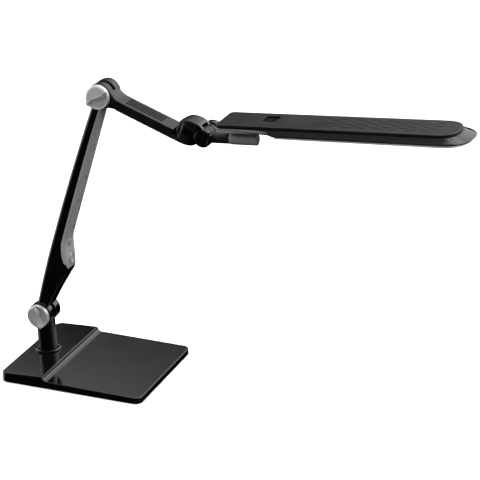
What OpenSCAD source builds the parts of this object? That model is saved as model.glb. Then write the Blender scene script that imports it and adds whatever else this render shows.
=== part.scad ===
// Folding desk lamp with a long flat light head.
// A weighted stepped base carries a swivelling post, a lower arm and an upper arm on two
// clamped hinges, and a head on a wrist that swivels, tilts and rolls.
// Millimetres. Origin on the table under the middle of the base, +Z up, +X from the post's
// end of the base towards the light, +Y away from the side that carries the two knobs.

/* [Base] */
// Length of the base plate, along X
base_l = 200; // [180:1:240]
// Depth of the base plate, along Y
base_d = 173; // [140:1:220]
// Radius of the base's corners in plan
base_corner_r = 10; // [5:0.5:16]
// Height of the raised deck at the edge behind the post
rear_h = 13; // [12.5:0.1:18]
// Slope of the raised deck, which is also the lean of the post
wedge_deg = 2.8; // [1.5:0.1:4]
// Length of the raised deck, from the edge behind the post to the step
deck_l = 60.7; // [56:0.1:80]
// Length of the bevel at the step
step_run = 6.5; // [3:0.1:12]
// Height of the front deck at the foot of the step
foot_h = 9.8; // [9:0.1:12]
// Height of the front deck at the far edge
front_h = 8.5; // [8:0.1:10]
// Wall of the base's moulded shell
base_wall = 2.4; // [1.6:0.1:3]
// Shadow gap under the edge of the shell
shell_lift = 0.6; // [0.3:0.1:0.9]
// Thickness of the soft pad that the lamp stands on
pad_t = 1; // [0.8:0.1:1.5]
// Distance of the pad from the base's edge
pad_inset = 4; // [3:0.5:10]
// Thickness of the bottom cover
bottom_t = 2; // [1.8:0.1:2.2]
// Distance from the base's edges to the centres of its screws
base_screw_in = 14; // [12:0.5:20]

/* [Post] */
// Distance from the edge behind the post to the post's centre
post_in = 28; // [24:0.5:30]
// Radius of the post
post_r = 12.5; // [11:0.1:14]
// Height of the lower hinge above the deck, along the post
post_h = 54.7; // [46:0.1:80]
// How far the lower hinge lies behind the post's axis
hinge_back = 1.4; // [0:0.1:3]
// Radius of the trim ring round the post's foot
collar_r = 17.5; // [16:0.1:20]
// Height of the trim ring
collar_h = 3; // [1.5:0.1:5]
// Radius of the hollow spigot that turns in the base
spigot_r = 8; // [7:0.1:9]
// Bore of the spigot, where the wires run
wire_r = 4.5; // [3:0.1:5.5]

/* [Hinges] */
// Radius of the hinge cheeks on the knob side of the post
cheek_r = 16.7; // [16:0.1:19]
// Radius of the hinge cheeks on the upper arm, and of the post's far cheek
drum_r = 16.2; // [15.5:0.1:18]
// Half width across a hinge's two cheeks
cheek_half = 13.5; // [12:0.1:16]
// Radius of the hinge bolts
bolt_r = 4; // [3:0.1:5]
// Radius of the hinge bolts' heads
bolt_head_r = 7; // [6:0.1:8]
// Height of the hinge bolts' heads
bolt_head_h = 3; // [2:0.1:4]
// Thickness of the friction washers
washer_t = 0.7; // [0.5:0.05:1.2]
// Thickness of the caps over the bolt heads
hinge_cap_t = 6; // [1.5:0.1:8]
// Radius of the clamp knobs
knob_r = 15.8; // [14:0.1:20]
// Height of a clamp knob, from its back to its low face
knob_low = 6.8; // [5:0.1:8]
// Height of the raised half of a clamp knob above its low face
knob_rise = 2.6; // [1:0.1:4]

/* [Lower arm] */
// Distance between the lower arm's two hinges
lower_len = 329.7; // [280:0.1:420]
// Lean of the lower arm from upright, towards the light
lower_lean = 17.1; // [5:0.1:35]
// Half width of both arms, along Y
arm_half = 15; // [14:0.1:18]
// Depth behind the hinge line at the arm's deepest place
arm_back = 12.5; // [11:0.1:15]
// Depth in front of the hinge line where the arm is slim
arm_front = 5.6; // [5.4:0.1:8]
// Distance from the lower hinge to the chin under the buttons
chin_at = 75.7; // [70:0.1:95]
// How far the chin stands out from the slim front
chin_out = 13.3; // [10:0.1:15]
// Wall of the arm's shells
arm_wall = 1.8; // [1.4:0.1:2]
// Thickness of the steel bar inside the lower arm
bar_t = 5; // [4:0.1:6]
// Width of the steel bar
bar_w = 6; // [5:0.1:6.4]
// Radius of the eyes at the bar's ends
eye_r = 11.5; // [9:0.1:12]

/* [Buttons] */
// Distance from the chin to the centre of the power button
power_up = 17.3; // [14:0.1:20]
// Distance from the chin to the centre of the mode button
mode_up = 38; // [34:0.1:42]
// Radius of the power button
power_r = 6.6; // [5:0.1:7.5]
// Radius of the mode button
mode_r = 3.4; // [2.5:0.1:4.5]
// Height of the buttons above the panel
button_proud = 0.9; // [0.9:0.1:1.5]
// Travel of the buttons
button_travel = 0.8; // [0.5:0.1:0.8]

/* [Upper arm] */
// Droop of the upper arm below level
upper_droop = 20.5; // [5:0.1:35]
// Height of the upper arm's top above its hinge line
upper_top = 5.5; // [5:0.1:7]
// Depth of the upper arm's underside below its hinge line
upper_under = 6.7; // [6:0.1:8]
// Distance from the elbow to the wrist's swivel axis
wrist_at = 120.5; // [105:0.5:160]
// Height of the tongue's top above the hinge line
tongue_top = 3.6; // [3:0.1:4.2]
// Radius of the tongue's round end
tongue_r = 14.6; // [13.5:0.1:15]
// Length of one cooling slot in the upper arm
slot_l = 1.5; // [1:0.1:2]
// Pitch of the cooling slots along the upper arm
slot_pitch = 2.6; // [2.2:0.1:4]
// Number of cooling slots in a row
slot_count = 16; // [6:1:18]
// Number of rows of cooling slots
slot_rows = 4; // [2:1:6]
// Pitch between the rows of slots
slot_row_pitch = 3.3; // [2.8:0.1:4]

/* [Wrist] */
// Radius of the knuckle's round end
knuckle_r = 14; // [13:0.1:14.5]
// Distance from the swivel axis to the tilt axis
tilt_out = 23.8; // [23:0.1:30]
// Height of the tilt axis above the arm's hinge line
tilt_up = 11.5; // [10.5:0.1:12.5]
// Radius of the tilt joint's cheeks
tilt_r = 11.6; // [10.5:0.1:11.9]
// Height of the knuckle's hump above the arm's hinge line
hump_h = 26; // [24.5:0.1:28]
// Half width of the shaft's head between the tilt cheeks
shaft_head_half = 7.5; // [6.5:0.1:8.5]
// Radius of the tilt axle and the roll screw's thread
tilt_pin_r = 3; // [2:0.1:3.5]
// Radius of the swivel bolt
swivel_r = 4; // [3:0.1:4.5]

/* [Roll shaft] */
// Radius of the shaft between the tilt joint and the sleeve
shaft_r = 6.8; // [6:0.1:7]
// Radius of the shaft inside the sleeve
shaft_in_r = 5; // [4:0.1:5.5]
// Distance of the shaft's axis below the tilt axis
shaft_drop = 2.2; // [0:0.1:3]
// Distance from the tilt axis to the sleeve's open end
sleeve_start = 32; // [30:0.5:36]
// Length of the sleeve
sleeve_l = 36.5; // [30:0.5:50]
// Outer radius of the sleeve
sleeve_r = 7.5; // [7.2:0.1:8]

/* [Head] */
// Upward pitch of the head above level
head_rise = 4.1; // [0:0.1:10]
// Distance from the tilt axis to the rear edge of the head
head_start = 23.8; // [22:0.1:28]
// Length of the head's top cover
cover_l = 302.7; // [260:1:360]
// Half width of the top cover at its rear
cover_half = 28.5; // [28:0.1:34]
// Growth of the top cover's half width from its rear to its tip
cover_flare = 2.3; // [0:0.1:3]
// Length of the top cover's rounded tip
cover_tip = 26; // [20:0.5:34]
// Radius of the top cover's rear corners
cover_corner = 6; // [3:0.1:10]
// Thickness of the top cover at its edge
cover_t = 3.5; // [3.2:0.1:4]
// Height of the head's top above the tilt axis
head_top = 23.8; // [23.5:0.1:27]
// How far the lower slab reaches beyond the top cover's tip
slab_beyond = 16; // [8:0.5:24]
// Half width of the lower slab at its widest
slab_half = 38.5; // [36:0.1:44]
// Half width of the lower slab where it leaves the bracket
slab_rear_half = 34.5; // [33:0.1:36]
// Height of the slab's sloping shoulder
slab_shoulder = 6.1; // [5.5:0.1:8]
// Height of the slab's upright rim
rim_h = 1.3; // [0.8:0.1:2]
// Height of the pale frame round the diffuser
bezel_h = 3; // [2.4:0.1:4]
// Width of the pale frame
bezel_w = 6; // [4:0.1:8]
// Thickness of the diffuser
diffuser_t = 1.6; // [1.2:0.1:2]
// Thickness of the bracket's plate
bracket_t = 5.4; // [4.5:0.1:5.8]
// Distance from the head's rear edge to where the bracket bends down
bracket_l = 62; // [60:0.5:68]
// Length of the bracket's bend
bend_l = 16; // [12:0.5:20]
// Half width of the bracket
bracket_half = 27.4; // [25:0.1:28]

/* [Head details] */
// Length of one cooling slot in the top cover
dash_l = 10.5; // [6:0.1:14]
// Width of one cooling slot
dash_w = 1.3; // [0.8:0.1:2]
// Pitch of the slots along the head
dash_pitch = 20; // [16:0.1:26]
// Number of slots in a row
dash_count = 8; // [3:1:9]
// Number of rows of slots
dash_rows = 6; // [2:1:7]
// Pitch between the rows of slots
dash_row_pitch = 6.6; // [5:0.1:8]
// Distance from the head's rear edge to the first slot
dash_start = 118; // [110:1:130]
// Length of the switch recess, across the head
recess_w = 22; // [18:0.5:26]
// Width of the switch recess, along the head
recess_l = 18; // [16:0.5:22]
// Depth of the switch recess
recess_d = 2.6; // [2:0.1:2.7]
// Distance from the head's rear edge to the middle of the recess
recess_at = 62.3; // [50:0.1:66]
// Offset of the recess from the head's middle line
recess_y = 5; // [0:0.5:6]
// Width of the slide switch's knob
slider_w = 3.4; // [2.5:0.1:5]
// Travel of the slide switch to each side
slider_travel = 3; // [1.5:0.1:3.5]
// Number of light emitters along the head
led_columns = 20; // [10:1:26]
// Number of rows of light emitters
led_rows = 2; // [1:1:3]

/* [Fits] */
// Radial clearance of a shaft or pin that turns in its bore
run_gap = 0.05; // [0.02:0.01:0.1]
// Clearance between two moving pieces that pass each other
pass_gap = 0.4; // [0.3:0.05:0.8]
// Clearance between a washer or thrust face and its neighbour
face_gap = 0.1; // [0.05:0.01:0.2]

/* [Hidden] */

// Smoothness of every round surface
$fn = 64;
// A small overlap that keeps cuts clean
cut = 0.02;

// Places on the base
post_x = post_in - base_l / 2;
step_x = deck_l - base_l / 2;
step_h = rear_h + deck_l * tan(wedge_deg);
deck_at_post = rear_h + post_in * tan(wedge_deg);
inside_floor = pad_t + bottom_t;
base_screw_x = base_l / 2 - base_screw_in;
base_screw_y = base_d / 2 - base_screw_in;
base_screw_r = 1.5;
base_head_r = 3;
base_head_h = 1.2;
head_room = 0.4;
boss_r = 3.6;
weight_gap = 0.3;
weight_low_top = front_h - base_wall - weight_gap;
weight_high_top = rear_h - base_wall - weight_gap;
inlet_y = base_d / 4;
inlet_w = 9;
inlet_l = 13;
inlet_bore_r = 2.8;
inlet_pin_r = 1;
inlet_z = (inside_floor + rear_h - base_wall) / 2;
inlet_h = rear_h - base_wall - inside_floor - 2 * face_gap;

// Places on the post and in its bearing, measured along the post from the deck
bush_r = spigot_r + 2.6;
bush_l = 5;
bush_flange_r = bush_r + 3;
bush_flange_t = 1.4;
thread_r = spigot_r - 0.8;
nut_t = 2.6;
post_washer_t = 0.8;
slot_half = bar_t / 2 + washer_t + face_gap;

// The knobs and the bolts that they turn on
cap_step = 1.2;
knob_neck_r = knob_r - 2.6;
knob_neck_h = 1.8;
foot_r = 3.4;
foot_out = 1.5;
knob_back = cheek_half + face_gap * 3;
knob_bore_r = bolt_r + 1.6;
knob_nut_t = 3;
knob_nut_r = knob_bore_r + 2.4;
bolt_near_end = knob_back + knob_low - 1;
cheek_floor = cheek_half - bolt_head_h;

// The lower arm's outline, as distances before and behind the hinge line
end_r = cheek_r + pass_gap * 2;
back_bow_at = chin_at + 30;
back_bow_top = 5.1;
back_bow_low = 2.2;
bow_end = 23;
// The arm stands a little before the line of its hinges at the lower end
arm_shift = 2;
function ahead(s) = arm_shift * (1 - s / lower_len);
function arm_rear(s) = ahead(s) - arm_back + (s > back_bow_at
    ? back_bow_top * pow((s - back_bow_at) / (lower_len - bow_end - back_bow_at), 2)
    : back_bow_low * pow((back_bow_at - s) / (back_bow_at - bow_end), 2));
chin_rise_l = 50;
chin_fall_l = 62;
function chin_shape(s) = s > chin_at
    ? (s > chin_at + chin_rise_l ? 0 : 0.5 + 0.5 * cos(180 * (s - chin_at) / chin_rise_l))
    : pow(max(0, 1 - (chin_at - s) / chin_fall_l), 1.2);
function arm_fore(s) = ahead(s) + arm_front + chin_out * chin_shape(s);
// The seam between the black shell and the pale panel
seam_slim = arm_front - 4.1;
seam_wide = arm_front + chin_out * chin_shape(chin_at + 4);
seam_open = chin_at + 45;
function seam(s) = ahead(s) + (s > seam_open
    ? seam_slim + (arm_front - 1 - seam_slim) * pow(max(0, (s - seam_open) / (lower_len - seam_open)), 3)
    : seam_slim + (seam_wide - seam_slim) * pow((seam_open - s) / (seam_open - chin_at - 4), 2.2));
panel_low = chin_at + 3;
bar_mid = -2;

// The buttons, on the slope above the chin
power_s = chin_at + power_up;
mode_s = chin_at + mode_up;
function face_slope(s) = atan((arm_fore(s - 1) - arm_fore(s + 1)) / 2);
button_flange = 1.2;
button_flange_t = 0.8;
button_gap = 0.15;
stem_r = 1.8;
board_front = bar_mid + bar_w / 2 + 1.4;
board_t = 1;
board_low = chin_at + 3;
board_l = 46;
board_half = arm_half - arm_wall - face_gap;
tact_half = 1.9;
tact_h = 0.8;

// The upper arm
neck_at = 13;
neck_end = 27;
neck_steps = 6;
neck_stations = [for (k = [0 : neck_steps]) neck_at + (neck_end - neck_at) * k / neck_steps];
// The neck starts just inside the drum's round, so that the two outlines cross
neck_rise = sqrt(drum_r * drum_r - neck_at * neck_at) - 0.3;
shoulder_at = drum_r + 2.9;
top_end_r = knuckle_r + pass_gap * 3;
top_end = wrist_at - top_end_r;
plate_top = -upper_under + 3.5;
upper_screw_r = 1.3;
upper_head_r = 2.3;
upper_head_h = 1.1;
upper_head_in = 0.2;
upper_boss_r = 3;
upper_screw_s = [36, 96];
upper_screw_y = arm_half - 4.5;
slot_w = 1.1;
slots_at = 41;
driver_l = 46;
driver_w = 20;
driver_t = 1.2;

// The wrist
knuckle_low = tongue_top + washer_t + face_gap * 2;
knuckle_floor = knuckle_low + 4;
cap_seam = knuckle_floor + 7;
swivel_head_r = 7.5;
swivel_head_h = 2.6;
swivel_nut_t = 4;
swivel_nut_r = 6.4;
nut_pocket_r = 8;
tilt_slot_half = shaft_head_half + washer_t + face_gap;
tilt_slot_at = tilt_out - tilt_r - pass_gap;
tilt_cap_t = 1.3;
far_cap_t = 12.7;
far_cap_r = 13.5;
cheek_side = knuckle_r + 0.3;
tilt_head_r = 5;
tilt_head_h = 1.6;
shaft_head_r = tilt_r - 0.3;

// The roll shaft inside its sleeve
shaft_end = sleeve_start + sleeve_l - 9.5;
roll_washer_t = 1;
roll_washer_r = shaft_in_r + 0.9;
roll_head_r = 4.2;
roll_head_t = 2.6;
sleeve_cap_t = 2.5;
sleeve_well_r = sleeve_r - 1.1;

// The head, with x from the tilt axis and z from it
cover_x1 = head_start + cover_l;
cover_z0 = head_top - cover_t;
slab_x1 = cover_x1 + slab_beyond;
rim_top = cover_z0 - slab_shoulder;
rim_low = rim_top - rim_h;
bezel_low = rim_low - bezel_h;
flange_t = 1.4;
bracket_top = cover_z0 - flange_t - face_gap;
bracket_low = bracket_top - bracket_t;
bend_x0 = head_start + bracket_l;
bend_x1 = bend_x0 + bend_l;
cover_wall = 1.5;
slab_tip = cover_tip + 10;
light_x0 = bend_x1 + 12;
light_x1 = slab_x1 - 22;
light_half = slab_rear_half - bezel_w - 2;
ledge_w = 2;
ledge_z = bezel_low + 1.2;
led_z = rim_top - 0.2;
led_t = 0.8;
led_l = 3.5;
led_w = 2.8;
led_board_t = 1.4;
heat_t = 1.4;
heat_top = led_z + led_board_t + heat_t;
dash_fit = min(dash_count, floor((cover_l - dash_start - cover_tip / 2) / dash_pitch));
vent_l = (dash_fit - 0.5) * dash_pitch;
vent_half = dash_rows * dash_row_pitch / 2;
recess_x = head_start + recess_at;
recess_floor = head_top - recess_d;
recess_skin = 1;
slider_slot_w = slider_w + 2 * slider_travel + 0.8;
slider_l = recess_w / 2;
head_screw_r = 1.4;
screw_head_r = 2.6;
screw_head_h = 1.2;
screw_head_in = 0.3;
screw_boss_r = 3;
head_screw_x = [head_start + 8, bend_x0 - 8];
head_screw_y = bracket_half - 5;

// Colours
black_gloss = [0.05, 0.05, 0.055];
black_satin = [0.12, 0.12, 0.13];
silver = [0.62, 0.63, 0.64];
steel = [0.55, 0.56, 0.58];
zinc = [0.7, 0.7, 0.68];
brass = [0.75, 0.6, 0.3];
nylon = [0.85, 0.84, 0.8];
board_green = [0.1, 0.3, 0.18];
frost = [0.93, 0.93, 0.9];

// Frames that each group of pieces is drawn in

// On the deck under the post, with z along the post
module at_post() translate([post_x, 0, deck_at_post]) rotate([0, -wedge_deg, 0]) children();

// At the lower hinge, upright in the world
module at_lower_hinge() at_post() translate([-hinge_back, 0, post_h]) rotate([0, wedge_deg, 0]) children();

// At the lower hinge, with z along the lower arm and x towards its front
module at_lower_arm() at_lower_hinge() rotate([0, lower_lean, 0]) children();

// At the elbow, with x along the upper arm and z out of its top
module at_upper_arm() at_lower_arm() translate([0, 0, lower_len])
    rotate([0, upper_droop - lower_lean, 0]) children();

// On the wrist's swivel axis, with z along it and zero at the hinge line
module at_wrist() at_upper_arm() translate([wrist_at, 0, 0]) children();

// At the tilt axis, with x along the head and z out of its top
module at_head() at_wrist() translate([tilt_out, 0, tilt_up])
    rotate([0, -upper_droop - head_rise, 0]) children();

// On the roll axis at the sleeve's open end, with z along the shaft
module at_roll(x = 0) at_head() translate([x, 0, -shaft_drop]) rotate([0, 90, 0]) children();

// Helpers

// A plate with round corners, centred on the origin
module rounded_plan(l, d, r) {
    square([l, d - 2 * r], center = true);
    square([l - 2 * r, d], center = true);
    for (sx = [-1, 1], sy = [-1, 1])
        translate([sx * (l / 2 - r), sy * (d / 2 - r)]) circle(r);
}

// A side outline in x and z, extruded along y from y0 to y1
module side_prism(y0, y1) translate([0, y1, 0]) rotate([90, 0, 0]) linear_extrude(y1 - y0) children();

// A cylinder along y, from y0 to y1
module y_cylinder(r, y0, y1) translate([0, y1, 0]) rotate([90, 0, 0]) cylinder(r = r, h = y1 - y0);

// A flat washer along y
module y_washer(r_out, r_in, y0, y1) difference() {
    y_cylinder(r_out, y0, y1);
    y_cylinder(r_in, y0 - cut, y1 + cut);
}

// A ring along z
module ring(r_out, r_in, z0, z1) translate([0, 0, z0]) difference() {
    cylinder(r = r_out, h = z1 - z0);
    translate([0, 0, -cut]) cylinder(r = r_in, h = z1 - z0 + 2 * cut);
}

// A screw that points up: a flat head below and a thread above
module screw_up(head_r, head_h, r, l) {
    cylinder(r = head_r, h = head_h);
    translate([0, 0, head_h - cut]) cylinder(r = r, h = l + cut);
}

// A hexagonal nut along z
module hex_nut(r, bore, h) difference() {
    cylinder(r = r, h = h, $fn = 6);
    translate([0, 0, -cut]) cylinder(r = bore, h = h + 2 * cut);
}

// One ring of a rounded bar's section at distance s: x from x0 to x1, half width w,
// with corner radius ra behind and rb in front
ring_steps = 4;
function section_ring(s, x0, x1, w, ra, rb) = [
    for (c = [0 : 3]) let (r = (c == 1 || c == 2) ? ra : rb,
        cx = (c == 1 || c == 2) ? x0 + ra : x1 - rb,
        cy = (c < 2 ? 1 : -1) * (w - r))
        for (k = [0 : ring_steps]) let (a = c * 90 + k * 90 / ring_steps)
            [cx + r * cos(a), cy + r * sin(a), s]
];

// A solid skinned over rings of equal counts, each at a greater z than the one before
module skin_rings(rings) {
    n = len(rings[0]);
    m = len(rings);
    points = [for (ring = rings) each ring];
    walls = [for (i = [0 : m - 2], j = [0 : n - 1]) let (k = (j + 1) % n)
        each [[i * n + j, (i + 1) * n + k, i * n + k], [i * n + j, (i + 1) * n + j, (i + 1) * n + k]]];
    floor_face = [[for (j = [0 : n - 1]) j]];
    roof_face = [[for (j = [n - 1 : -1 : 0]) (m - 1) * n + j]];
    polyhedron(points = points, faces = concat(walls, floor_face, roof_face), convexity = 6);
}

// Distances along the lower arm where its section is drawn, close together near the chin
arm_stations = concat(
    [for (s = [8 : 9 : chin_at - 12]) s],
    [for (s = [chin_at - 6 : 4 : chin_at + 50]) s],
    [for (i = [0 : 6]) chin_at + 62 + i * (lower_len - 8 - chin_at - 62) / 6]
);

// The lower arm's envelope, inset all round by a wall
module arm_envelope(inset) skin_rings([for (s = arm_stations) section_ring(
    s, arm_rear(s) + inset, arm_fore(s) - inset, arm_half - inset, 5.5 - inset, 3.4 - inset)]);

// Everything in front of the seam between shell and panel, seen from the side
module front_of_seam() side_prism(-arm_half - 1, arm_half + 1) polygon(concat(
    [for (s = [panel_low : 4 : seam_open]) [seam(s), s]],
    [for (i = [0 : 6]) let (s = seam_open + (lower_len - seam_open) * (i + 0.5) / 6.5)
        [seam(s), s]],
    [[60, lower_len + 10], [60, panel_low]]
));

// The two hinges' clearance at the lower arm's ends
module arm_end_cuts() {
    y_cylinder(end_r, -arm_half - 1, arm_half + 1);
    translate([0, 0, lower_len]) y_cylinder(end_r, -arm_half - 1, arm_half + 1);
    translate([-50, -50, -60]) cube([100, 100, 60]);
    translate([-50, -50, lower_len]) cube([100, 100, 60]);
}

// On the panel's face at distance s, with z out of the face
module at_face(s) translate([arm_fore(s), 0, s]) rotate([0, 90 - face_slope(s), 0]) children();

// Plan of the head's long plates: straight rear, tapered sides and a rounded tip
tip_steps = 16;
tip_power = 2.4;
function tip_curve(x1, w1, tip) = [for (k = [0 : tip_steps]) let (a = -90 + 180 * k / tip_steps)
    [x1 - tip + tip * pow(cos(a), 2 / tip_power), sign(sin(a)) * w1 * pow(abs(sin(a)), 2 / tip_power)]];
module head_plan(x0, x1, w0, w1, tip, corner) {
    difference() {
        polygon(concat([[x0, w0], [x0, -w0]], tip_curve(x1, w1, tip)));
        if (corner > 0) for (side = [-1, 1])
            translate([x0 - cut, side * (w0 - corner)]) mirror([0, side < 0 ? 1 : 0]) difference() {
                square([corner, corner + 1]);
                translate([corner + cut, 0]) circle(corner);
            }
    }
}
module cover_plan(inset = 0) head_plan(head_start + inset, cover_x1 - inset, cover_half - inset,
    cover_half + cover_flare - inset, cover_tip - inset, max(0.5, cover_corner - inset));
module slab_plan(inset = 0) head_plan(bend_x0 - 6, slab_x1 - inset, slab_rear_half - inset,
    slab_half - inset, slab_tip - inset, 0);

// The bracket's bend, as the height of its top face at distance x
function bend_drop(x) = x < bend_x0 ? 0 : x > bend_x1 ? 1 : 0.5 - 0.5 * cos(180 * (x - bend_x0) / bend_l);
function bend_top(x) = bracket_top - (bracket_top - rim_low) * bend_drop(x);
function bend_low(x) = bracket_low - (bracket_low - bezel_low) * bend_drop(x);
bend_steps = 8;

// The base

module base_profile(drop) polygon([
    [-base_l, -1], [-base_l, rear_h - drop - (base_l / 2) * tan(wedge_deg)],
    [step_x, step_h - drop], [step_x + step_run, foot_h - drop],
    [base_l / 2, front_h - drop],
    [base_l, front_h - drop - (foot_h - front_h)], [base_l, -1]
]);

module base_shell() color(black_gloss) difference() {
    union() {
        difference() {
            intersection() {
                side_prism(-base_d, base_d) base_profile(0);
                translate([0, 0, shell_lift]) linear_extrude(step_h)
                    rounded_plan(base_l, base_d, base_corner_r);
            }
            intersection() {
                side_prism(-base_d, base_d) base_profile(base_wall);
                translate([0, 0, -1]) linear_extrude(step_h + 2) rounded_plan(
                    base_l - 2 * base_wall, base_d - 2 * base_wall, base_corner_r - base_wall);
            }
        }
        // Bosses for the four screws
        intersection() {
            for (sx = [-1, 1], sy = [-1, 1]) translate([sx * base_screw_x, sy * base_screw_y, inside_floor])
                cylinder(r = boss_r, h = step_h);
            side_prism(-base_d, base_d) base_profile(base_wall / 2);
        }
    }
    for (sx = [-1, 1], sy = [-1, 1]) translate([sx * base_screw_x, sy * base_screw_y, inside_floor - 1])
        cylinder(r = base_screw_r, h = 1 + front_h - base_wall - inside_floor);
    at_post() translate([0, 0, -base_wall * 2]) cylinder(r = bush_r + run_gap, h = base_wall * 2 + 1);
    translate([-base_l / 2 - 1, inlet_y, inlet_z]) rotate([0, 90, 0])
        cylinder(r = inlet_bore_r + 0.7, h = base_wall + 2);
}

module base_weight() color(steel) difference() {
    union() {
        translate([0, 0, inside_floor]) linear_extrude(weight_low_top - inside_floor)
            rounded_plan(base_l - 2 * (base_wall + weight_gap), base_d - 2 * (base_wall + weight_gap),
                base_corner_r - base_wall);
        // The raised deck holds a second, thicker slab
        translate([-base_l / 2 + base_wall + 16, -base_d / 2 + base_wall + 22, weight_low_top - cut])
            cube([deck_l - base_wall - 22, base_d - 2 * base_wall - 44, weight_high_top - weight_low_top]);
    }
    for (sx = [-1, 1], sy = [-1, 1]) translate([sx * base_screw_x, sy * base_screw_y, 0])
        cylinder(r = boss_r + 1, h = step_h);
    at_post() translate([0, 0, -deck_at_post - 2]) cylinder(r = bush_flange_r + 1.5, h = deck_at_post + 4);
    // Room for the inlet and its wires
    translate([-base_l / 2, inlet_y - inlet_w / 2 - 1, 0])
        cube([base_wall + inlet_l + 6, inlet_w + 2, step_h]);
    translate([-base_l / 2 + base_wall + inlet_l, min(post_r, inlet_y) - 4, 0])
        cube([6, inlet_y - post_r + 4 + inlet_w / 2, step_h]);
}

module base_bottom() color(black_satin) difference() {
    translate([0, 0, pad_t]) linear_extrude(bottom_t) rounded_plan(base_l - 2 * (base_wall + 0.2),
        base_d - 2 * (base_wall + 0.2), base_corner_r - base_wall);
    for (sx = [-1, 1], sy = [-1, 1]) translate([sx * base_screw_x, sy * base_screw_y, 0]) {
        cylinder(r = base_screw_r + 0.3, h = 10);
        cylinder(r = base_head_r + head_room, h = pad_t + base_head_h + face_gap);
    }
}

module base_pad() color([0.08, 0.08, 0.08]) difference() {
    linear_extrude(pad_t) rounded_plan(base_l - 2 * pad_inset, base_d - 2 * pad_inset,
        max(1, base_corner_r - pad_inset));
    for (sx = [-1, 1], sy = [-1, 1]) translate([sx * base_screw_x, sy * base_screw_y, -1])
        cylinder(r = base_head_r + head_room * 1.5, h = pad_t + 2);
}

module base_screws() color(zinc)
    for (sx = [-1, 1], sy = [-1, 1]) translate([sx * base_screw_x, sy * base_screw_y, pad_t + face_gap])
        screw_up(base_head_r, base_head_h, base_screw_r - run_gap, front_h - base_wall - pad_t - 2);

// A flanged sleeve pressed up into the deck from inside
module swivel_bush() color(nylon) at_post() difference() {
    union() {
        translate([0, 0, -bush_l]) cylinder(r = bush_r, h = bush_l);
        translate([0, 0, -base_wall - face_gap / 2 - bush_flange_t])
            cylinder(r = bush_flange_r, h = bush_flange_t);
    }
    translate([0, 0, -bush_l - 1]) cylinder(r = spigot_r + run_gap, h = bush_l + 2);
}

// A trim ring with a rounded top edge, glued to the deck round the post
module post_collar() color(black_gloss) at_post() rotate_extrude() {
    translate([post_r + pass_gap, 0]) square([collar_r - post_r - pass_gap, collar_h / 2]);
    translate([post_r + pass_gap, 0]) square([collar_r - post_r - pass_gap - collar_h / 2, collar_h]);
    translate([collar_r - collar_h / 2, collar_h / 2]) circle(collar_h / 2);
}

// A barrel socket for the supply plug, in the edge behind the post
module power_inlet() color(black_satin) translate([-base_l / 2 + base_wall + face_gap, inlet_y, inlet_z])
    union() {
        difference() {
            translate([0, -inlet_w / 2, -inlet_h / 2]) cube([inlet_l, inlet_w, inlet_h]);
            translate([-1, 0, 0]) rotate([0, 90, 0]) cylinder(r = inlet_bore_r, h = inlet_l - 1);
        }
        rotate([0, 90, 0]) cylinder(r = inlet_pin_r, h = inlet_l - 1);
    }

// The post

module post() color(black_gloss) at_post() difference() {
    union() {
        translate([0, 0, face_gap]) cylinder(r = post_r, h = post_h - cheek_r / 2);
        translate([0, 0, -bush_l - post_washer_t]) cylinder(r = spigot_r, h = bush_l + post_washer_t + 1);
        translate([0, 0, -bush_l - post_washer_t - nut_t])
            cylinder(r = thread_r, h = nut_t + 1);
        translate([-hinge_back, 0, post_h]) {
            y_cylinder(cheek_r, -cheek_half, -slot_half);
            y_cylinder(drum_r, slot_half, cheek_half);
            // A web joins the cheeks below the bar's eye
            intersection() {
                y_cylinder(drum_r, -cheek_half, cheek_half);
                translate([-post_r, -cheek_half, -cheek_r]) cube([2 * post_r, 2 * cheek_half, cheek_r]);
            }
        }
    }
    // The slot that the lower bar's eye turns in
    translate([-2 * cheek_r, -slot_half, post_h - eye_r - pass_gap])
        cube([4 * cheek_r, 2 * slot_half, 2 * cheek_r]);
    translate([0, 0, -20]) cylinder(r = wire_r, h = 20 + post_h - eye_r - 2);
    translate([-hinge_back, 0, post_h]) {
        y_cylinder(bolt_r + run_gap, -cheek_half - 1, cheek_half + 1);
        y_cylinder(bolt_head_r + face_gap, cheek_floor, cheek_half + 1);
    }
}

module post_washer() color(steel) at_post() ring(bush_r, spigot_r + run_gap,
    -bush_l - post_washer_t, -bush_l - face_gap / 2);

module post_nut() color(zinc) at_post() translate([0, 0, -bush_l - post_washer_t - nut_t])
    hex_nut(bush_r + 0.6, thread_r + run_gap, nut_t - face_gap / 2);

// A hinge bolt along y: its head is sunk in the far cheek and its thread takes the knob's nut
module hinge_bolt() {
    y_cylinder(bolt_r, -bolt_near_end, cheek_half - face_gap);
    y_cylinder(bolt_head_r, cheek_floor + face_gap / 2, cheek_half - face_gap);
}
module lower_bolt() color(zinc) at_lower_hinge() hinge_bolt();
module elbow_bolt() color(zinc) at_upper_arm() hinge_bolt();

// A shallow cap that hides a bolt's head
module hinge_cap(r) {
    y_cylinder(r, cheek_half, cheek_half + hinge_cap_t - cap_step);
    y_cylinder(r - cap_step, cheek_half, cheek_half + hinge_cap_t);
}
module lower_bolt_cap() color(black_gloss) at_lower_hinge() hinge_cap(drum_r - 0.4);
module elbow_bolt_cap() color(black_gloss) at_upper_arm() hinge_cap(drum_r - 0.4);

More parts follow.
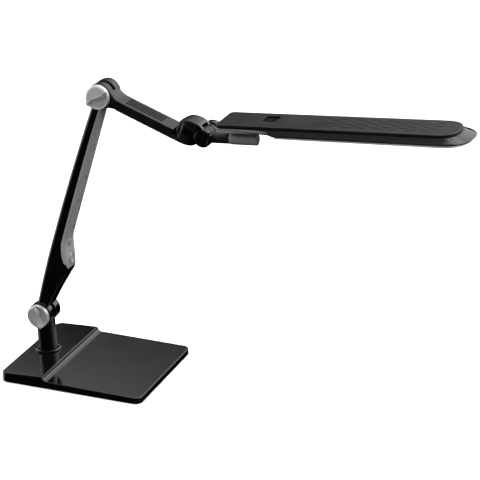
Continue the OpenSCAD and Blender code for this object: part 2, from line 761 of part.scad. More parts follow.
// A clamp knob along -y: a low disc, and a raised half with an S-shaped edge to push against
s_edge_r = knob_r / 2;
module raised_half() intersection() {
    circle(knob_r - 1);
    difference() {
        union() {
            translate([-knob_r, -2 * knob_r]) square([knob_r, 4 * knob_r]);
            translate([0, s_edge_r]) circle(s_edge_r / 1.6);
        }
        translate([0, -s_edge_r]) circle(s_edge_r / 1.6);
    }
}
module clamp_knob(turn) rotate([90, 0, 0]) rotate([0, 0, turn]) difference() {
    union() {
        translate([0, 0, knob_back]) cylinder(r = knob_neck_r, h = knob_low);
        translate([0, 0, knob_back + knob_neck_h]) cylinder(r = knob_r, h = knob_low - knob_neck_h - 0.8);
        translate([0, 0, knob_back + knob_neck_h]) cylinder(r = knob_r - 0.8, h = knob_low - knob_neck_h);
        // The rib ends in a foot that stands out of the disc
        translate([0, -knob_r + foot_r - foot_out, knob_back + knob_neck_h])
            cylinder(r = foot_r, h = knob_low - knob_neck_h + knob_rise / 2);
        intersection() {
            translate([0, 0, knob_back]) linear_extrude(knob_low + knob_rise) raised_half();
            // A large sphere domes the raised half
            translate([0, 0, knob_back + knob_low + knob_rise - 3.2 * knob_r]) sphere(3.2 * knob_r, $fn = 96);
        }
    }
    // The brass nut's pocket and the bolt's clearance
    translate([0, 0, knob_back - cut]) cylinder(r = knob_nut_r, h = knob_nut_t + cut);
    translate([0, 0, knob_back - cut]) cylinder(r = knob_bore_r, h = knob_low - 0.6);
}
module clamp_nut() y_washer(knob_nut_r - run_gap, bolt_r + run_gap,
    -knob_back - knob_nut_t + face_gap, -knob_back);
module lower_knob() color(silver) at_lower_hinge() clamp_knob(8);
module lower_knob_nut() color(brass) at_lower_hinge() clamp_nut();
module elbow_knob() color(silver) at_upper_arm() clamp_knob(-45);
module elbow_knob_nut() color(brass) at_upper_arm() clamp_nut();

// Friction washers on both faces of one of the bar's eyes
module eye_washers() for (side = [-1, 1])
    y_washer(eye_r - 1.5, bolt_r + 2 * run_gap,
        side > 0 ? bar_t / 2 : -bar_t / 2 - washer_t, side > 0 ? bar_t / 2 + washer_t : -bar_t / 2);
module lower_washers() color(nylon) at_lower_arm() eye_washers();
module elbow_washers() color(nylon) at_lower_arm() translate([0, 0, lower_len]) eye_washers();

// The lower arm

// A steel bar with an eye at each end carries the load through the moulded arm
module lower_bar() color(steel) at_lower_arm() difference() {
    union() {
        y_cylinder(eye_r, -bar_t / 2, bar_t / 2);
        translate([0, 0, lower_len]) y_cylinder(eye_r, -bar_t / 2, bar_t / 2);
        translate([bar_mid - bar_w / 2, -bar_t / 2, 0]) cube([bar_w, bar_t, lower_len]);
    }
    y_cylinder(bolt_r + run_gap, -bar_t, bar_t);
    translate([0, 0, lower_len]) y_cylinder(bolt_r + run_gap, -bar_t, bar_t);
}

// Two ribs inside the shell grip the bar near the ends
module bar_slot() translate([bar_mid - bar_w / 2 - face_gap, -bar_t / 2 - face_gap, 0])
    cube([bar_w + 2 * face_gap, bar_t + 2 * face_gap, lower_len]);
module arm_cavity() intersection() {
    arm_envelope(arm_wall);
    difference() {
        translate([-50, -50, 0]) cube([100, 100, lower_len]);
        y_cylinder(end_r + arm_wall * 2, -50, 50);
        translate([0, 0, lower_len]) y_cylinder(end_r + arm_wall * 2, -50, 50);
    }
}
panel_screw_s = [chin_at + 70, lower_len - 60];
panel_screw_r = 1;
panel_head_r = 2.1;
panel_head_h = 1;
panel_head_in = 0.5;
panel_boss_r = 2.6;
module panel_screw_places() for (s = panel_screw_s, side = [-1, 1])
    translate([arm_rear(s), side * (arm_half - 6), s]) rotate([0, 90, 0]) children();

module lower_arm_shell() color(black_gloss) at_lower_arm() difference() {
    union() {
        difference() {
            arm_envelope(0);
            arm_cavity();
        }
        // Bosses that carry the panel's screws
        intersection() {
            panel_screw_places() cylinder(r = panel_boss_r, h = arm_back + arm_front + chin_out);
            arm_envelope(arm_wall / 2);
        }
    }
    front_of_seam();
    arm_end_cuts();
    bar_slot();
    panel_screw_places() {
        translate([0, 0, -5]) cylinder(r = panel_screw_r + head_room, h = arm_back + arm_front + chin_out);
        translate([0, 0, -5])
            cylinder(r = panel_head_r + head_room / 2, h = 5 + panel_head_in + panel_head_h + face_gap);
    }
}

module front_panel() color(silver) at_lower_arm() difference() {
    intersection() {
        union() {
            difference() {
                arm_envelope(0);
                arm_cavity();
            }
            intersection() {
                panel_screw_places() cylinder(r = panel_boss_r, h = arm_back + arm_front + chin_out);
                arm_envelope(arm_wall / 2);
            }
        }
        front_of_seam();
    }
    arm_end_cuts();
    bar_slot();
    panel_screw_places() translate([0, 0, -5])
        cylinder(r = panel_screw_r, h = 5 + arm_back + arm_front - arm_wall - head_room);
    button_hole(power_s, power_r);
    button_hole(mode_s, mode_r);
}
module button_hole(s, r) at_face(s) {
    translate([0, 0, -arm_front]) cylinder(r = r + button_gap, h = 2 * arm_front);
    translate([0, 0, -arm_front - arm_wall]) cylinder(r = r + button_flange + pass_gap, h = arm_front);
}

module panel_screws() color(zinc) at_lower_arm() panel_screw_places() translate([0, 0, panel_head_in])
    screw_up(panel_head_r, panel_head_h, panel_screw_r, arm_back + arm_front - 3.4 * arm_wall);

// The board lies in front of the bar, under the buttons
module control_board() color(board_green) at_lower_arm()
    translate([board_front - board_t, -board_half, board_low]) cube([board_t, 2 * board_half, board_l]);

// Where a button's stem points on the board, and how deep the stem may reach below the face
function stem_s(s) = s - (arm_fore(s) - board_front) * tan(face_slope(s));
function stem_reach(s) = (arm_fore(s) - board_front - tact_h - 2 * face_gap) / cos(face_slope(s))
    - stem_r * tan(face_slope(s)) - button_travel;
module tact_switches() color([0.2, 0.2, 0.2]) at_lower_arm()
    for (s = [power_s, mode_s]) translate([board_front, -tact_half, stem_s(s) - tact_half])
        cube([tact_h, 2 * tact_half, 2 * tact_half]);

// A button with a retaining flange behind the panel and a stem towards its switch
flange_top = -arm_wall - face_gap;
module push_button(s, r) at_face(s) {
    translate([0, 0, flange_top]) cylinder(r = r, h = button_proud - flange_top);
    translate([0, 0, flange_top - button_flange_t]) cylinder(r = r + button_flange, h = button_flange_t);
    reach = max(stem_reach(s), button_flange_t - flange_top);
    translate([0, 0, -reach]) cylinder(r = stem_r, h = reach);
}
module power_button() color(silver) at_lower_arm() difference() {
    push_button(power_s, power_r);
    // The ring round the button's raised middle
    at_face(power_s) ring(power_r - 1.2, power_r - 2.1, button_proud - 0.5, button_proud + 1);
}
module mode_button() color(silver) at_lower_arm() push_button(mode_s, mode_r);

// The upper arm

// Side outline: a round end at the elbow that sweeps in to the arm's slim depth
function neck_top(s) = upper_top + (neck_rise - upper_top) * pow((neck_end - s) / (neck_end - neck_at), 2);
function neck_under(s) = -upper_under - (neck_rise - upper_under)
    * pow((neck_end - s) / (neck_end - neck_at), 2);
module upper_profile(far_end) {
    circle(drum_r);
    polygon(concat(
        [for (s = neck_stations) [s, neck_top(s)]],
        [[far_end, upper_top], [far_end, -upper_under]],
        [for (k = [neck_steps : -1 : 0]) [neck_stations[k], neck_under(neck_stations[k])]]
    ));
}
module upper_screw_places() for (s = upper_screw_s, side = [-1, 1])
    translate([s, side * upper_screw_y, -upper_under]) children();

module upper_arm_body() color(black_satin) at_upper_arm() difference() {
    union() {
        side_prism(-cheek_half, cheek_half) upper_profile(neck_end + 1);
        side_prism(-arm_half, arm_half) intersection() {
            upper_profile(top_end);
            translate([shoulder_at, -2 * drum_r]) square([wrist_at, 4 * drum_r]);
        }
    }
    // The slot for the bar's eye
    translate([-3 * drum_r, -slot_half, -2 * drum_r])
        cube([3 * drum_r + eye_r + pass_gap, 2 * slot_half, 4 * drum_r]);
    // The hollow that holds the driver, open below, with bosses for the screws
    difference() {
        translate([neck_end, -arm_half + arm_wall, plate_top - 1])
            cube([top_end - neck_end - arm_wall, 2 * (arm_half - arm_wall),
                upper_top - arm_wall - plate_top + 1]);
        upper_screw_places() cylinder(r = upper_boss_r, h = 2 * (upper_top + upper_under));
    }
    // The bottom plate's seat
    translate([neck_end, -arm_half - 1, -upper_under - 1])
        cube([wrist_at, 2 * arm_half + 2, plate_top + upper_under + 1]);
    upper_screw_places() cylinder(r = 1, h = upper_under + upper_top - 1.4);
    y_cylinder(bolt_r + run_gap, -cheek_half - 1, cheek_half + 1);
    y_cylinder(bolt_head_r + face_gap, cheek_floor, cheek_half + 1);
    // Cooling slots
    for (row = [0 : slot_rows - 1], i = [0 : slot_count - 1])
        translate([slots_at + i * slot_pitch, (row - (slot_rows - 1) / 2) * slot_row_pitch - slot_w / 2, 0])
            cube([slot_l, slot_w, 30]);
}

// The bottom plate thickens into the round tongue that carries the wrist
module upper_arm_bottom() color(black_satin) at_upper_arm() difference() {
    union() {
        translate([neck_end + face_gap, -arm_half, -upper_under])
            cube([wrist_at - neck_end - face_gap, 2 * arm_half, plate_top + upper_under - face_gap / 2]);
        translate([wrist_at, 0, -upper_under]) cylinder(r = tongue_r, h = tongue_top + upper_under);
        intersection() {
            translate([wrist_at - top_end_r, -tongue_r, -upper_under])
                cube([top_end_r, 2 * tongue_r, tongue_top + upper_under]);
            translate([wrist_at, 0, -upper_under]) cylinder(r = top_end_r - face_gap, h = 20);
        }
    }
    // The plate's corners beyond the tongue's round end
    difference() {
        translate([wrist_at, -arm_half - 1, -upper_under - 1]) cube([2 * arm_half, 2 * arm_half + 2, 30]);
        translate([wrist_at, 0, -upper_under - 2]) cylinder(r = tongue_r, h = 40);
    }
    translate([wrist_at, 0, -upper_under - 1]) {
        cylinder(r = swivel_r + run_gap, h = 30);
        cylinder(r = swivel_head_r + face_gap, h = 1 + swivel_head_h + face_gap);
    }
    upper_screw_places() translate([0, 0, -1]) {
        cylinder(r = upper_screw_r + 0.2, h = 30);
        cylinder(r = upper_head_r + head_room * 0.75, h = 1 + upper_head_in + upper_head_h + face_gap);
    }
}

module upper_arm_screws() color(zinc) at_upper_arm() upper_screw_places() translate([0, 0, upper_head_in])
    screw_up(upper_head_r, upper_head_h, 1 - run_gap, upper_under + upper_top - 3.2);

// The light's driver: a board with a transformer, a capacitor and a chip
module driver_board() color(board_green) at_upper_arm() translate([44, 0, plate_top + 0.05]) {
    translate([0, -driver_w / 2, 0]) cube([driver_l, driver_w, driver_t]);
    translate([6, -5, driver_t - cut]) cube([9, 10, 4]);
    translate([20, 3, driver_t - cut]) cylinder(r = 2.5, h = 4.4);
    translate([28, -4, driver_t - cut]) cube([8, 6, 1.6]);
}

// The wrist

module swivel_bolt() color(zinc) at_wrist() {
    translate([0, 0, -upper_under]) cylinder(r = swivel_head_r, h = swivel_head_h);
    translate([0, 0, -upper_under])
        cylinder(r = swivel_r, h = upper_under + knuckle_floor + swivel_nut_t + 1);
}
module swivel_nut() color(zinc) at_wrist() translate([0, 0, knuckle_floor + face_gap])
    hex_nut(swivel_nut_r, swivel_r + run_gap, swivel_nut_t);
module swivel_washer() color(nylon) at_wrist()
    ring(tongue_r - 4, swivel_r + 2 * run_gap, tongue_top, tongue_top + washer_t);

// Side outline of the knuckle: a hump that falls to the tilt joint's round cheeks
hump_steps = 8;
function hump(x) = hump_h - 2.4 * pow((x - 8) / 12, 2) - (x < -4 ? 3 * pow((-4 - x) / 10, 2) : 0);
module knuckle_profile() {
    polygon(concat(
        [[-knuckle_r, knuckle_low]],
        [for (k = [0 : hump_steps]) let (x = -knuckle_r + (tilt_slot_at + 3 + knuckle_r) * k / hump_steps)
            [x, hump(x)]],
        [[tilt_out - 2, tilt_up + tilt_r * 0.9], [tilt_out, tilt_up], [tilt_out - tilt_r * 0.72, knuckle_low]]
    ));
}
module knuckle_solid() {
    intersection() {
        side_prism(-knuckle_r - 1, knuckle_r + 1) knuckle_profile();
        union() {
            translate([0, 0, -knuckle_r]) cylinder(r = knuckle_r, h = 4 * knuckle_r);
            translate([0, -knuckle_r + face_gap, -knuckle_r])
                cube([tilt_out + 2 * tilt_r, 2 * (knuckle_r - face_gap), 4 * knuckle_r]);
        }
    }
    translate([tilt_out, 0, tilt_up]) y_cylinder(tilt_r, -cheek_side, cheek_side);
}
module tilt_slot() translate([tilt_slot_at, -tilt_slot_half, -20]) cube([60, 2 * tilt_slot_half, 80]);

module knuckle() color(black_gloss) at_wrist() difference() {
    knuckle_solid();
    // Everything above the seam but the cheeks belongs to the cap
    translate([-50, -50, cap_seam]) cube([50 + tilt_slot_at - 1.5, 100, 60]);
    tilt_slot();
    translate([0, 0, -1]) cylinder(r = swivel_r + run_gap, h = 30);
    translate([0, 0, knuckle_floor]) cylinder(r = nut_pocket_r, h = 40);
    translate([tilt_out, 0, tilt_up]) {
        y_cylinder(tilt_pin_r + run_gap, -cheek_side - 1, cheek_side + 1);
        for (side = [-1, 1]) y_cylinder(tilt_head_r + face_gap,
            side > 0 ? cheek_side - tilt_head_h - face_gap : -cheek_side - 1,
            side > 0 ? cheek_side + 1 : -cheek_side + tilt_head_h + face_gap);
    }
}
module knuckle_cap() color(black_satin) at_wrist() intersection() {
    knuckle_solid();
    translate([-50, -50, cap_seam + face_gap / 2]) cube([50 + tilt_slot_at - 1.6, 100, 60]);
}

module tilt_axle() color(zinc) at_wrist() translate([tilt_out, 0, tilt_up]) {
    y_cylinder(tilt_pin_r, -cheek_side + tilt_head_h - cut, cheek_side - tilt_head_h + cut);
    for (side = [-1, 1]) y_cylinder(tilt_head_r, side > 0 ? cheek_side - tilt_head_h : -cheek_side + face_gap,
        side > 0 ? cheek_side - face_gap : -cheek_side + tilt_head_h);
}
// A thin cap on the near cheek, and a thick one with a stepped rim on the far cheek
module tilt_caps() color(black_gloss) at_wrist() translate([tilt_out, 0, tilt_up]) {
    y_cylinder(tilt_r - 1.4, -cheek_side - tilt_cap_t, -cheek_side);
    y_cylinder(far_cap_r, cheek_side + cap_step, cheek_side + far_cap_t - cap_step);
    y_cylinder(far_cap_r - cap_step, cheek_side, cheek_side + far_cap_t);
}
module tilt_washers() color(nylon) at_head() for (side = [-1, 1])
    y_washer(tilt_r - 2, tilt_pin_r + 2 * run_gap, side > 0 ? shaft_head_half : -shaft_head_half - washer_t,
        side > 0 ? shaft_head_half + washer_t : -shaft_head_half);

// The shaft turns on the tilt axle at one end and carries the head's sleeve at the other
module roll_shaft() color(black_gloss) difference() {
    union() {
        at_head() y_cylinder(shaft_head_r, -shaft_head_half, shaft_head_half);
        at_roll() cylinder(r = shaft_r, h = sleeve_start - pass_gap);
        at_roll() cylinder(r = shaft_in_r, h = shaft_end);
    }
    at_head() y_cylinder(tilt_pin_r + run_gap, -20, 20);
    at_roll(shaft_end - 8) cylinder(r = 1.6, h = 10);
}
module roll_washer() color(steel) at_roll(shaft_end + face_gap) ring(roll_washer_r, 2, 0, roll_washer_t);
module roll_screw() color(zinc) at_roll(shaft_end - 6) {
    cylinder(r = 1.6 - run_gap, h = 6 + roll_washer_t + 2 * face_gap + cut);
    translate([0, 0, 6 + roll_washer_t + 2 * face_gap]) cylinder(r = roll_head_r, h = roll_head_t);
}

// The head

// The bracket: a plate under the head's rear that bends down to the frame, with the sleeve under it
sleeve_top_web = 4;
module bracket_side() polygon(concat(
    [[head_start + 1, bracket_low], [head_start + 1, bracket_top]],
    [for (k = [0 : bend_steps]) let (x = bend_x0 + bend_l * k / bend_steps) [x, bend_top(x)]],
    [for (k = [bend_steps : -1 : 0]) let (x = bend_x0 + bend_l * k / bend_steps) [x, bend_low(x)]]
));
module head_bracket() color(silver) difference() {
    union() {
        at_head() side_prism(-bracket_half, bracket_half) bracket_side();
        at_roll(sleeve_start) cylinder(r = sleeve_r, h = sleeve_l);
        // A saddle joins the sleeve to the plate
        at_head() translate([sleeve_start + 3, -sleeve_top_web, -shaft_drop])
            cube([sleeve_l - 6, 2 * sleeve_top_web, bracket_low + shaft_drop + 1]);
    }
    at_roll(sleeve_start - 1) cylinder(r = shaft_in_r + run_gap, h = sleeve_l);
    at_roll(shaft_end - 1) cylinder(r = sleeve_well_r, h = 30);
    // The sleeve's open end is cut back at a slant below
    at_head() translate([sleeve_start, -20, -shaft_drop]) rotate([0, -12, 0]) translate([-10, 0, -30])
        cube([10, 40, 30]);
    at_head() switch_box(face_gap);
    head_screw_places() {
        translate([0, 0, -1]) cylinder(r = head_screw_r + 0.2, h = 30);
        translate([0, 0, -1])
            cylinder(r = screw_head_r + head_room * 0.75, h = 1 + screw_head_in + screw_head_h + face_gap);
    }
}
module head_screw_places() at_head() for (x = head_screw_x, side = [-1, 1])
    translate([x, side * head_screw_y, bracket_low]) children();

module sleeve_cap() color(silver) at_roll(sleeve_start + sleeve_l - sleeve_cap_t)
    cylinder(r = sleeve_well_r - run_gap, h = sleeve_cap_t - 0.6);

module recess_walls(grow, z0, z1)
    translate([recess_x - recess_l / 2 - grow, recess_y - recess_w / 2 - grow, z0])
    cube([recess_l + 2 * grow, recess_w + 2 * grow, z1 - z0]);

module head_cover() color(black_satin) at_head() difference() {
    union() {
        difference() {
            translate([0, 0, cover_z0]) linear_extrude(cover_t) cover_plan();
            translate([0, 0, cover_z0 - 1]) linear_extrude(cover_t - cover_wall + 1) cover_plan(cover_wall);
        }
        // The switch's well
        recess_walls(cover_wall, recess_floor - recess_skin, head_top - cut);
        // Bosses for the screws that come up through the bracket
        for (x = head_screw_x, side = [-1, 1]) translate([x, side * head_screw_y, cover_z0])
            cylinder(r = screw_boss_r, h = cover_t - cut);
    }
    recess_walls(0, recess_floor, head_top + 1);
    translate([recess_x - slider_slot_w / 2, recess_y - slider_l / 2 - 0.4, recess_floor - 5])
        cube([slider_slot_w, slider_l + 0.8, 10]);
    for (x = head_screw_x, side = [-1, 1]) translate([x, side * head_screw_y, cover_z0 - 1])
        cylinder(r = head_screw_r, h = cover_t - 0.2);
    // Cooling slots in staggered rows
    for (row = [0 : dash_rows - 1], i = [0 : dash_fit - 1])
        translate([head_start + dash_start + (i + (row % 2) / 2) * dash_pitch,
            (row - (dash_rows - 1) / 2) * dash_row_pitch - dash_w / 2, cover_z0 - 1])
            cube([dash_l, dash_w, 10]);
}

// The lower slab: a flange under the cover, a sloping shoulder and an upright rim
module housing_outer() {
    translate([0, 0, cover_z0 - flange_t]) linear_extrude(flange_t) head_plan(head_start + 0.6, cover_x1 - 3,
        cover_half - 0.6, cover_half + cover_flare - 0.6, cover_tip, cover_corner);
    difference() {
        hull() {
            translate([0, 0, rim_top]) linear_extrude(0.1) slab_plan();
            translate([0, 0, cover_z0 - 0.1]) linear_extrude(0.1) head_plan(bend_x0 - 6, cover_x1 + 1.5,
                cover_half - 0.6, cover_half + cover_flare - 0.6, cover_tip, 0);
        }
        behind_bend(face_gap);
    }
    difference() {
        translate([0, 0, rim_low]) linear_extrude(rim_h + 0.05) slab_plan();
        behind_bend(face_gap);
    }
}
// Ribs inside the housing press the heat plate down
module housing_ribs() for (side = [-1, 1])
    translate([light_x0, side * (light_half - 3) - 1, heat_top + face_gap / 2])
        cube([light_x1 - light_x0, 2, cover_z0 - heat_top - 0.5]);
// The space that the bracket takes behind and above its bend
module behind_bend(gap) side_prism(-60, 60) polygon(concat(
    [[head_start - 20, bracket_top + gap - 0.01]],
    [for (k = [0 : bend_steps]) let (x = bend_x0 + bend_l * k / bend_steps) [x + gap, bend_top(x) + gap]],
    [[bend_x1 + 0.5, rim_low - 20], [head_start - 20, rim_low - 20]]
));
module light_space(z0, z1, grow) translate([light_x0 - grow, -light_half - grow, z0])
    cube([light_x1 - light_x0 + 2 * grow, 2 * (light_half + grow), z1 - z0]);

module head_housing() color(black_gloss) at_head() difference() {
    union() {
        difference() {
            housing_outer();
            light_space(rim_low - 1, cover_z0 - flange_t, 1);
        }
        housing_ribs();
    }
    recess_walls(cover_wall + face_gap, rim_low, cover_z0 + 1);
    for (x = head_screw_x, side = [-1, 1]) translate([x, side * head_screw_y, 0])
        cylinder(r = head_screw_r + 0.2, h = 30);
    // A passage for the wires to the light
    translate([bend_x0 - 20, -6, rim_low]) cube([light_x0 - bend_x0 + 22, 12, cover_z0 - flange_t - rim_low]);
    // A window that lets the heat out to the slots in the cover
    translate([head_start + dash_start, -vent_half, rim_low]) cube([vent_l, 2 * vent_half, cover_z0]);
}

module head_bezel() color([0.78, 0.78, 0.76]) at_head() difference() {
    translate([0, 0, bezel_low]) linear_extrude(bezel_h - face_gap / 2)
        head_plan(bend_x1 + face_gap, slab_x1 - 3, slab_rear_half - 1.6, slab_half - 1.6, slab_tip - 3, 0);
    light_space(bezel_low - 1, rim_low + 1, -ledge_w);
    light_space(ledge_z, rim_low + 1, 0);
}

// The diffuser's rim rests on the frame's ledge and its middle fills the opening
module diffuser() color(frost) at_head() {
    light_space(ledge_z - diffuser_t / 2, ledge_z + cut, -ledge_w - face_gap);
    light_space(ledge_z, ledge_z + diffuser_t / 2, -face_gap);
}

// A white tray with a window for each light emitter
module reflector() color([0.95, 0.95, 0.95]) at_head() difference() {
    light_space(ledge_z + diffuser_t / 2 + face_gap / 2, led_z - face_gap / 2, -face_gap);
    light_space(0, led_z - 0.6, -1);
    for (i = [0 : led_columns - 1], row = [0 : led_rows - 1]) led_place(i, row, 0, 30, 0.3);
}
module led_place(i, row, z0, z1, grow) {
    x = light_x0 + (light_x1 - light_x0) * (i + 0.5) / led_columns;
    y = (row - (led_rows - 1) / 2) * light_half;
    translate([x - led_l / 2 - grow, y - led_w / 2 - grow, z0])
        cube([led_l + 2 * grow, led_w + 2 * grow, z1 - z0]);
}
module leds() color([0.98, 0.9, 0.5]) at_head()
    for (i = [0 : led_columns - 1], row = [0 : led_rows - 1]) led_place(i, row, led_z - led_t, led_z, 0);
module led_board() color([0.9, 0.9, 0.88]) at_head() light_space(led_z, led_z + led_board_t, 0);
module heat_plate() color([0.75, 0.76, 0.78]) at_head()
    light_space(led_z + led_board_t, led_z + led_board_t + heat_t, 0.6);

// The slide switch hangs under the well's floor
switch_top = recess_floor - recess_skin - face_gap;
switch_h = 3.2;
module switch_box(grow) translate([recess_x - recess_l / 2 + 1 - grow,
    recess_y - slider_l / 2 - 2 - grow, switch_top - switch_h - grow])
    cube([recess_l - 2 + 2 * grow, slider_l + 4 + 2 * grow, switch_h + grow]);
module switch_body() color([0.15, 0.15, 0.15]) at_head() difference() {
    switch_box(0);
    translate([recess_x - slider_slot_w / 2, recess_y - slider_l / 2 - 0.4, switch_top - 1])
        cube([slider_slot_w, slider_l + 0.8, 10]);
}
module slide_knob() color([0.3, 0.3, 0.31]) at_head()
    translate([recess_x - slider_w / 2, recess_y - slider_l / 2, switch_top - 1 + face_gap])
        cube([slider_w, slider_l, recess_floor + recess_d * 0.7 - switch_top + 1 - face_gap]);

module head_screws() color(zinc) head_screw_places() translate([0, 0, screw_head_in])
    screw_up(screw_head_r, screw_head_h, head_screw_r - run_gap, bracket_t + flange_t + cover_t - 3.4);

base_shell();
base_weight();
base_bottom();
base_pad();
base_screws();
swivel_bush();
post_collar();
power_inlet();
post();
post_washer();
post_nut();
lower_bolt();
lower_bolt_cap();
lower_knob();
lower_knob_nut();
lower_washers();
lower_bar();
lower_arm_shell();
front_panel();
panel_screws();
control_board();
tact_switches();
power_button();
mode_button();
elbow_washers();
upper_arm_body();
upper_arm_bottom();
upper_arm_screws();
driver_board();
elbow_bolt();
elbow_bolt_cap();
elbow_knob();
elbow_knob_nut();
swivel_bolt();
swivel_nut();
swivel_washer();
knuckle();
knuckle_cap();
tilt_axle();
tilt_caps();
tilt_washers();
roll_shaft();
roll_washer();
roll_screw();
head_bracket();
sleeve_cap();
head_cover();
head_housing();
head_bezel();
diffuser();
reflector();
led_board();
leds();
heat_plate();
switch_body();
slide_knob();
head_screws();
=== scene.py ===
# %% [markdown]
# # A folding desk lamp with a flat head
#
# The lamp is packed as a frame of 57 parts with their joints. This script keeps that frame as it is and dresses it:
# the parts that show get surfaces worked out with numpy, with the soft edges and hollows of moulded plastic, and
# every part gets a finish made of shader nodes. All lengths are written in millimetres, as the maker's drawing has
# them, and turned into metres once, at the end of each piece.

# %% Load the frame and the tools
import bmesh
import bpy
import numpy as np
from mathutils import Matrix, Vector


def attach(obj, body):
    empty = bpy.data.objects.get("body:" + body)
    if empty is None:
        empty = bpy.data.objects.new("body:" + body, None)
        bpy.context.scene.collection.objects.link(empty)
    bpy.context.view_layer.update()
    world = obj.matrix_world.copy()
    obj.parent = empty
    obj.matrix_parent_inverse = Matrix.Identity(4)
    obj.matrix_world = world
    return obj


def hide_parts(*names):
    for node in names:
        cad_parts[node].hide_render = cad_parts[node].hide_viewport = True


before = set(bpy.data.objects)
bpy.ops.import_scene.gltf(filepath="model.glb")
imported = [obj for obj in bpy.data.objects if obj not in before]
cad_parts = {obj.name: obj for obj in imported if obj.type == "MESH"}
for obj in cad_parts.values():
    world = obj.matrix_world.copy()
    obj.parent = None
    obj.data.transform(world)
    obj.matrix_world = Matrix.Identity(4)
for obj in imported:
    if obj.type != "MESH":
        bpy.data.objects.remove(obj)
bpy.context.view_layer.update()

scene = bpy.context.scene
MM = 0.001
print("parts in the frame:", len(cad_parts))

# %% [markdown]
# ## The camera
#
# The photograph was matched by laying known corners of the base and the head over it. That gives a long lens far
# away, which keeps the edges of the base almost parallel. A camera looks along its own minus z, so its rotation is
# a matrix whose columns are its right, its up and its backward direction.

# %% Camera at the photograph's viewing angle
TURN, TILT_DOWN = 0.36412, 0.37715      # radians round the lamp, and down onto it
forward = np.array([-np.sin(TURN) * np.cos(TILT_DOWN), np.cos(TURN) * np.cos(TILT_DOWN), -np.sin(TILT_DOWN)])
rightward = np.array([np.cos(TURN), np.sin(TURN), 0.0])
upward = np.cross(rightward, forward)

lens = bpy.data.cameras.new("photo_lens")
lens.sensor_width = 36
lens.lens = 36 * 1848 / 480             # the focal length in pixels over the width in pixels
lens.clip_start, lens.clip_end = 0.1, 50
camera = bpy.data.objects.new("camera", lens)
pose = np.eye(4)
pose[:3, 0], pose[:3, 1], pose[:3, 2] = rightward, upward, -forward
pose[:3, 3] = 0.97695, -2.02604, 1.06981
camera.matrix_world = Matrix(pose)
scene.collection.objects.link(camera)
scene.camera = camera
print("lens in mm:", round(lens.lens, 1))

# %% [markdown]
# ## Floor and light
#
# Black gloss shows hardly any colour of its own: what we see is the room in it. The photograph's studio is dark in
# front and below, so the sides of the lamp stay black, and pale behind, so each face that looks up turns grey. The
# room here is a sky made of a few soft steps of brightness. The lamps are large soft boxes that light the silver and
# the floor, and like the floor they are hidden from mirror-like rays, which would turn black sides pale.

# %% The floor
def flat_sheet(name, half, height):
    """A square sheet: its four corners are plus and minus half in x and y, at one height."""
    mesh = bpy.data.meshes.new(name)
    c = np.array([[-1, -1, 0], [1, -1, 0], [1, 1, 0], [-1, 1, 0]]) * half + [0, 0, height]
    mesh.from_pydata(c.tolist(), [], [(0, 1, 2, 3)])
    sheet = bpy.data.objects.new(name, mesh)
    scene.collection.objects.link(sheet)
    return sheet


floor = flat_sheet("floor", 6.0, -0.0002)
floor_paint = bpy.data.materials.new("floor_paint")
floor_paint.use_nodes = True
floor_shader = floor_paint.node_tree.nodes["Principled BSDF"]
floor_shader.inputs["Roughness"].default_value = 0.9
floor_shader.inputs["Specular IOR Level"].default_value = 0.0
mottle = floor_paint.node_tree.nodes.new("ShaderNodeTexNoise")
mottle.inputs["Scale"].default_value = 3
tone = floor_paint.node_tree.nodes.new("ShaderNodeMapRange")
tone.inputs["To Min"].default_value, tone.inputs["To Max"].default_value = 0.93, 0.95
floor_paint.node_tree.links.new(mottle.outputs["Fac"], tone.inputs["Value"])
floor_paint.node_tree.links.new(tone.outputs["Result"], floor_shader.inputs["Base Color"])
floor.data.materials.append(floor_paint)
floor.visible_glossy = False
floor.visible_diffuse = False


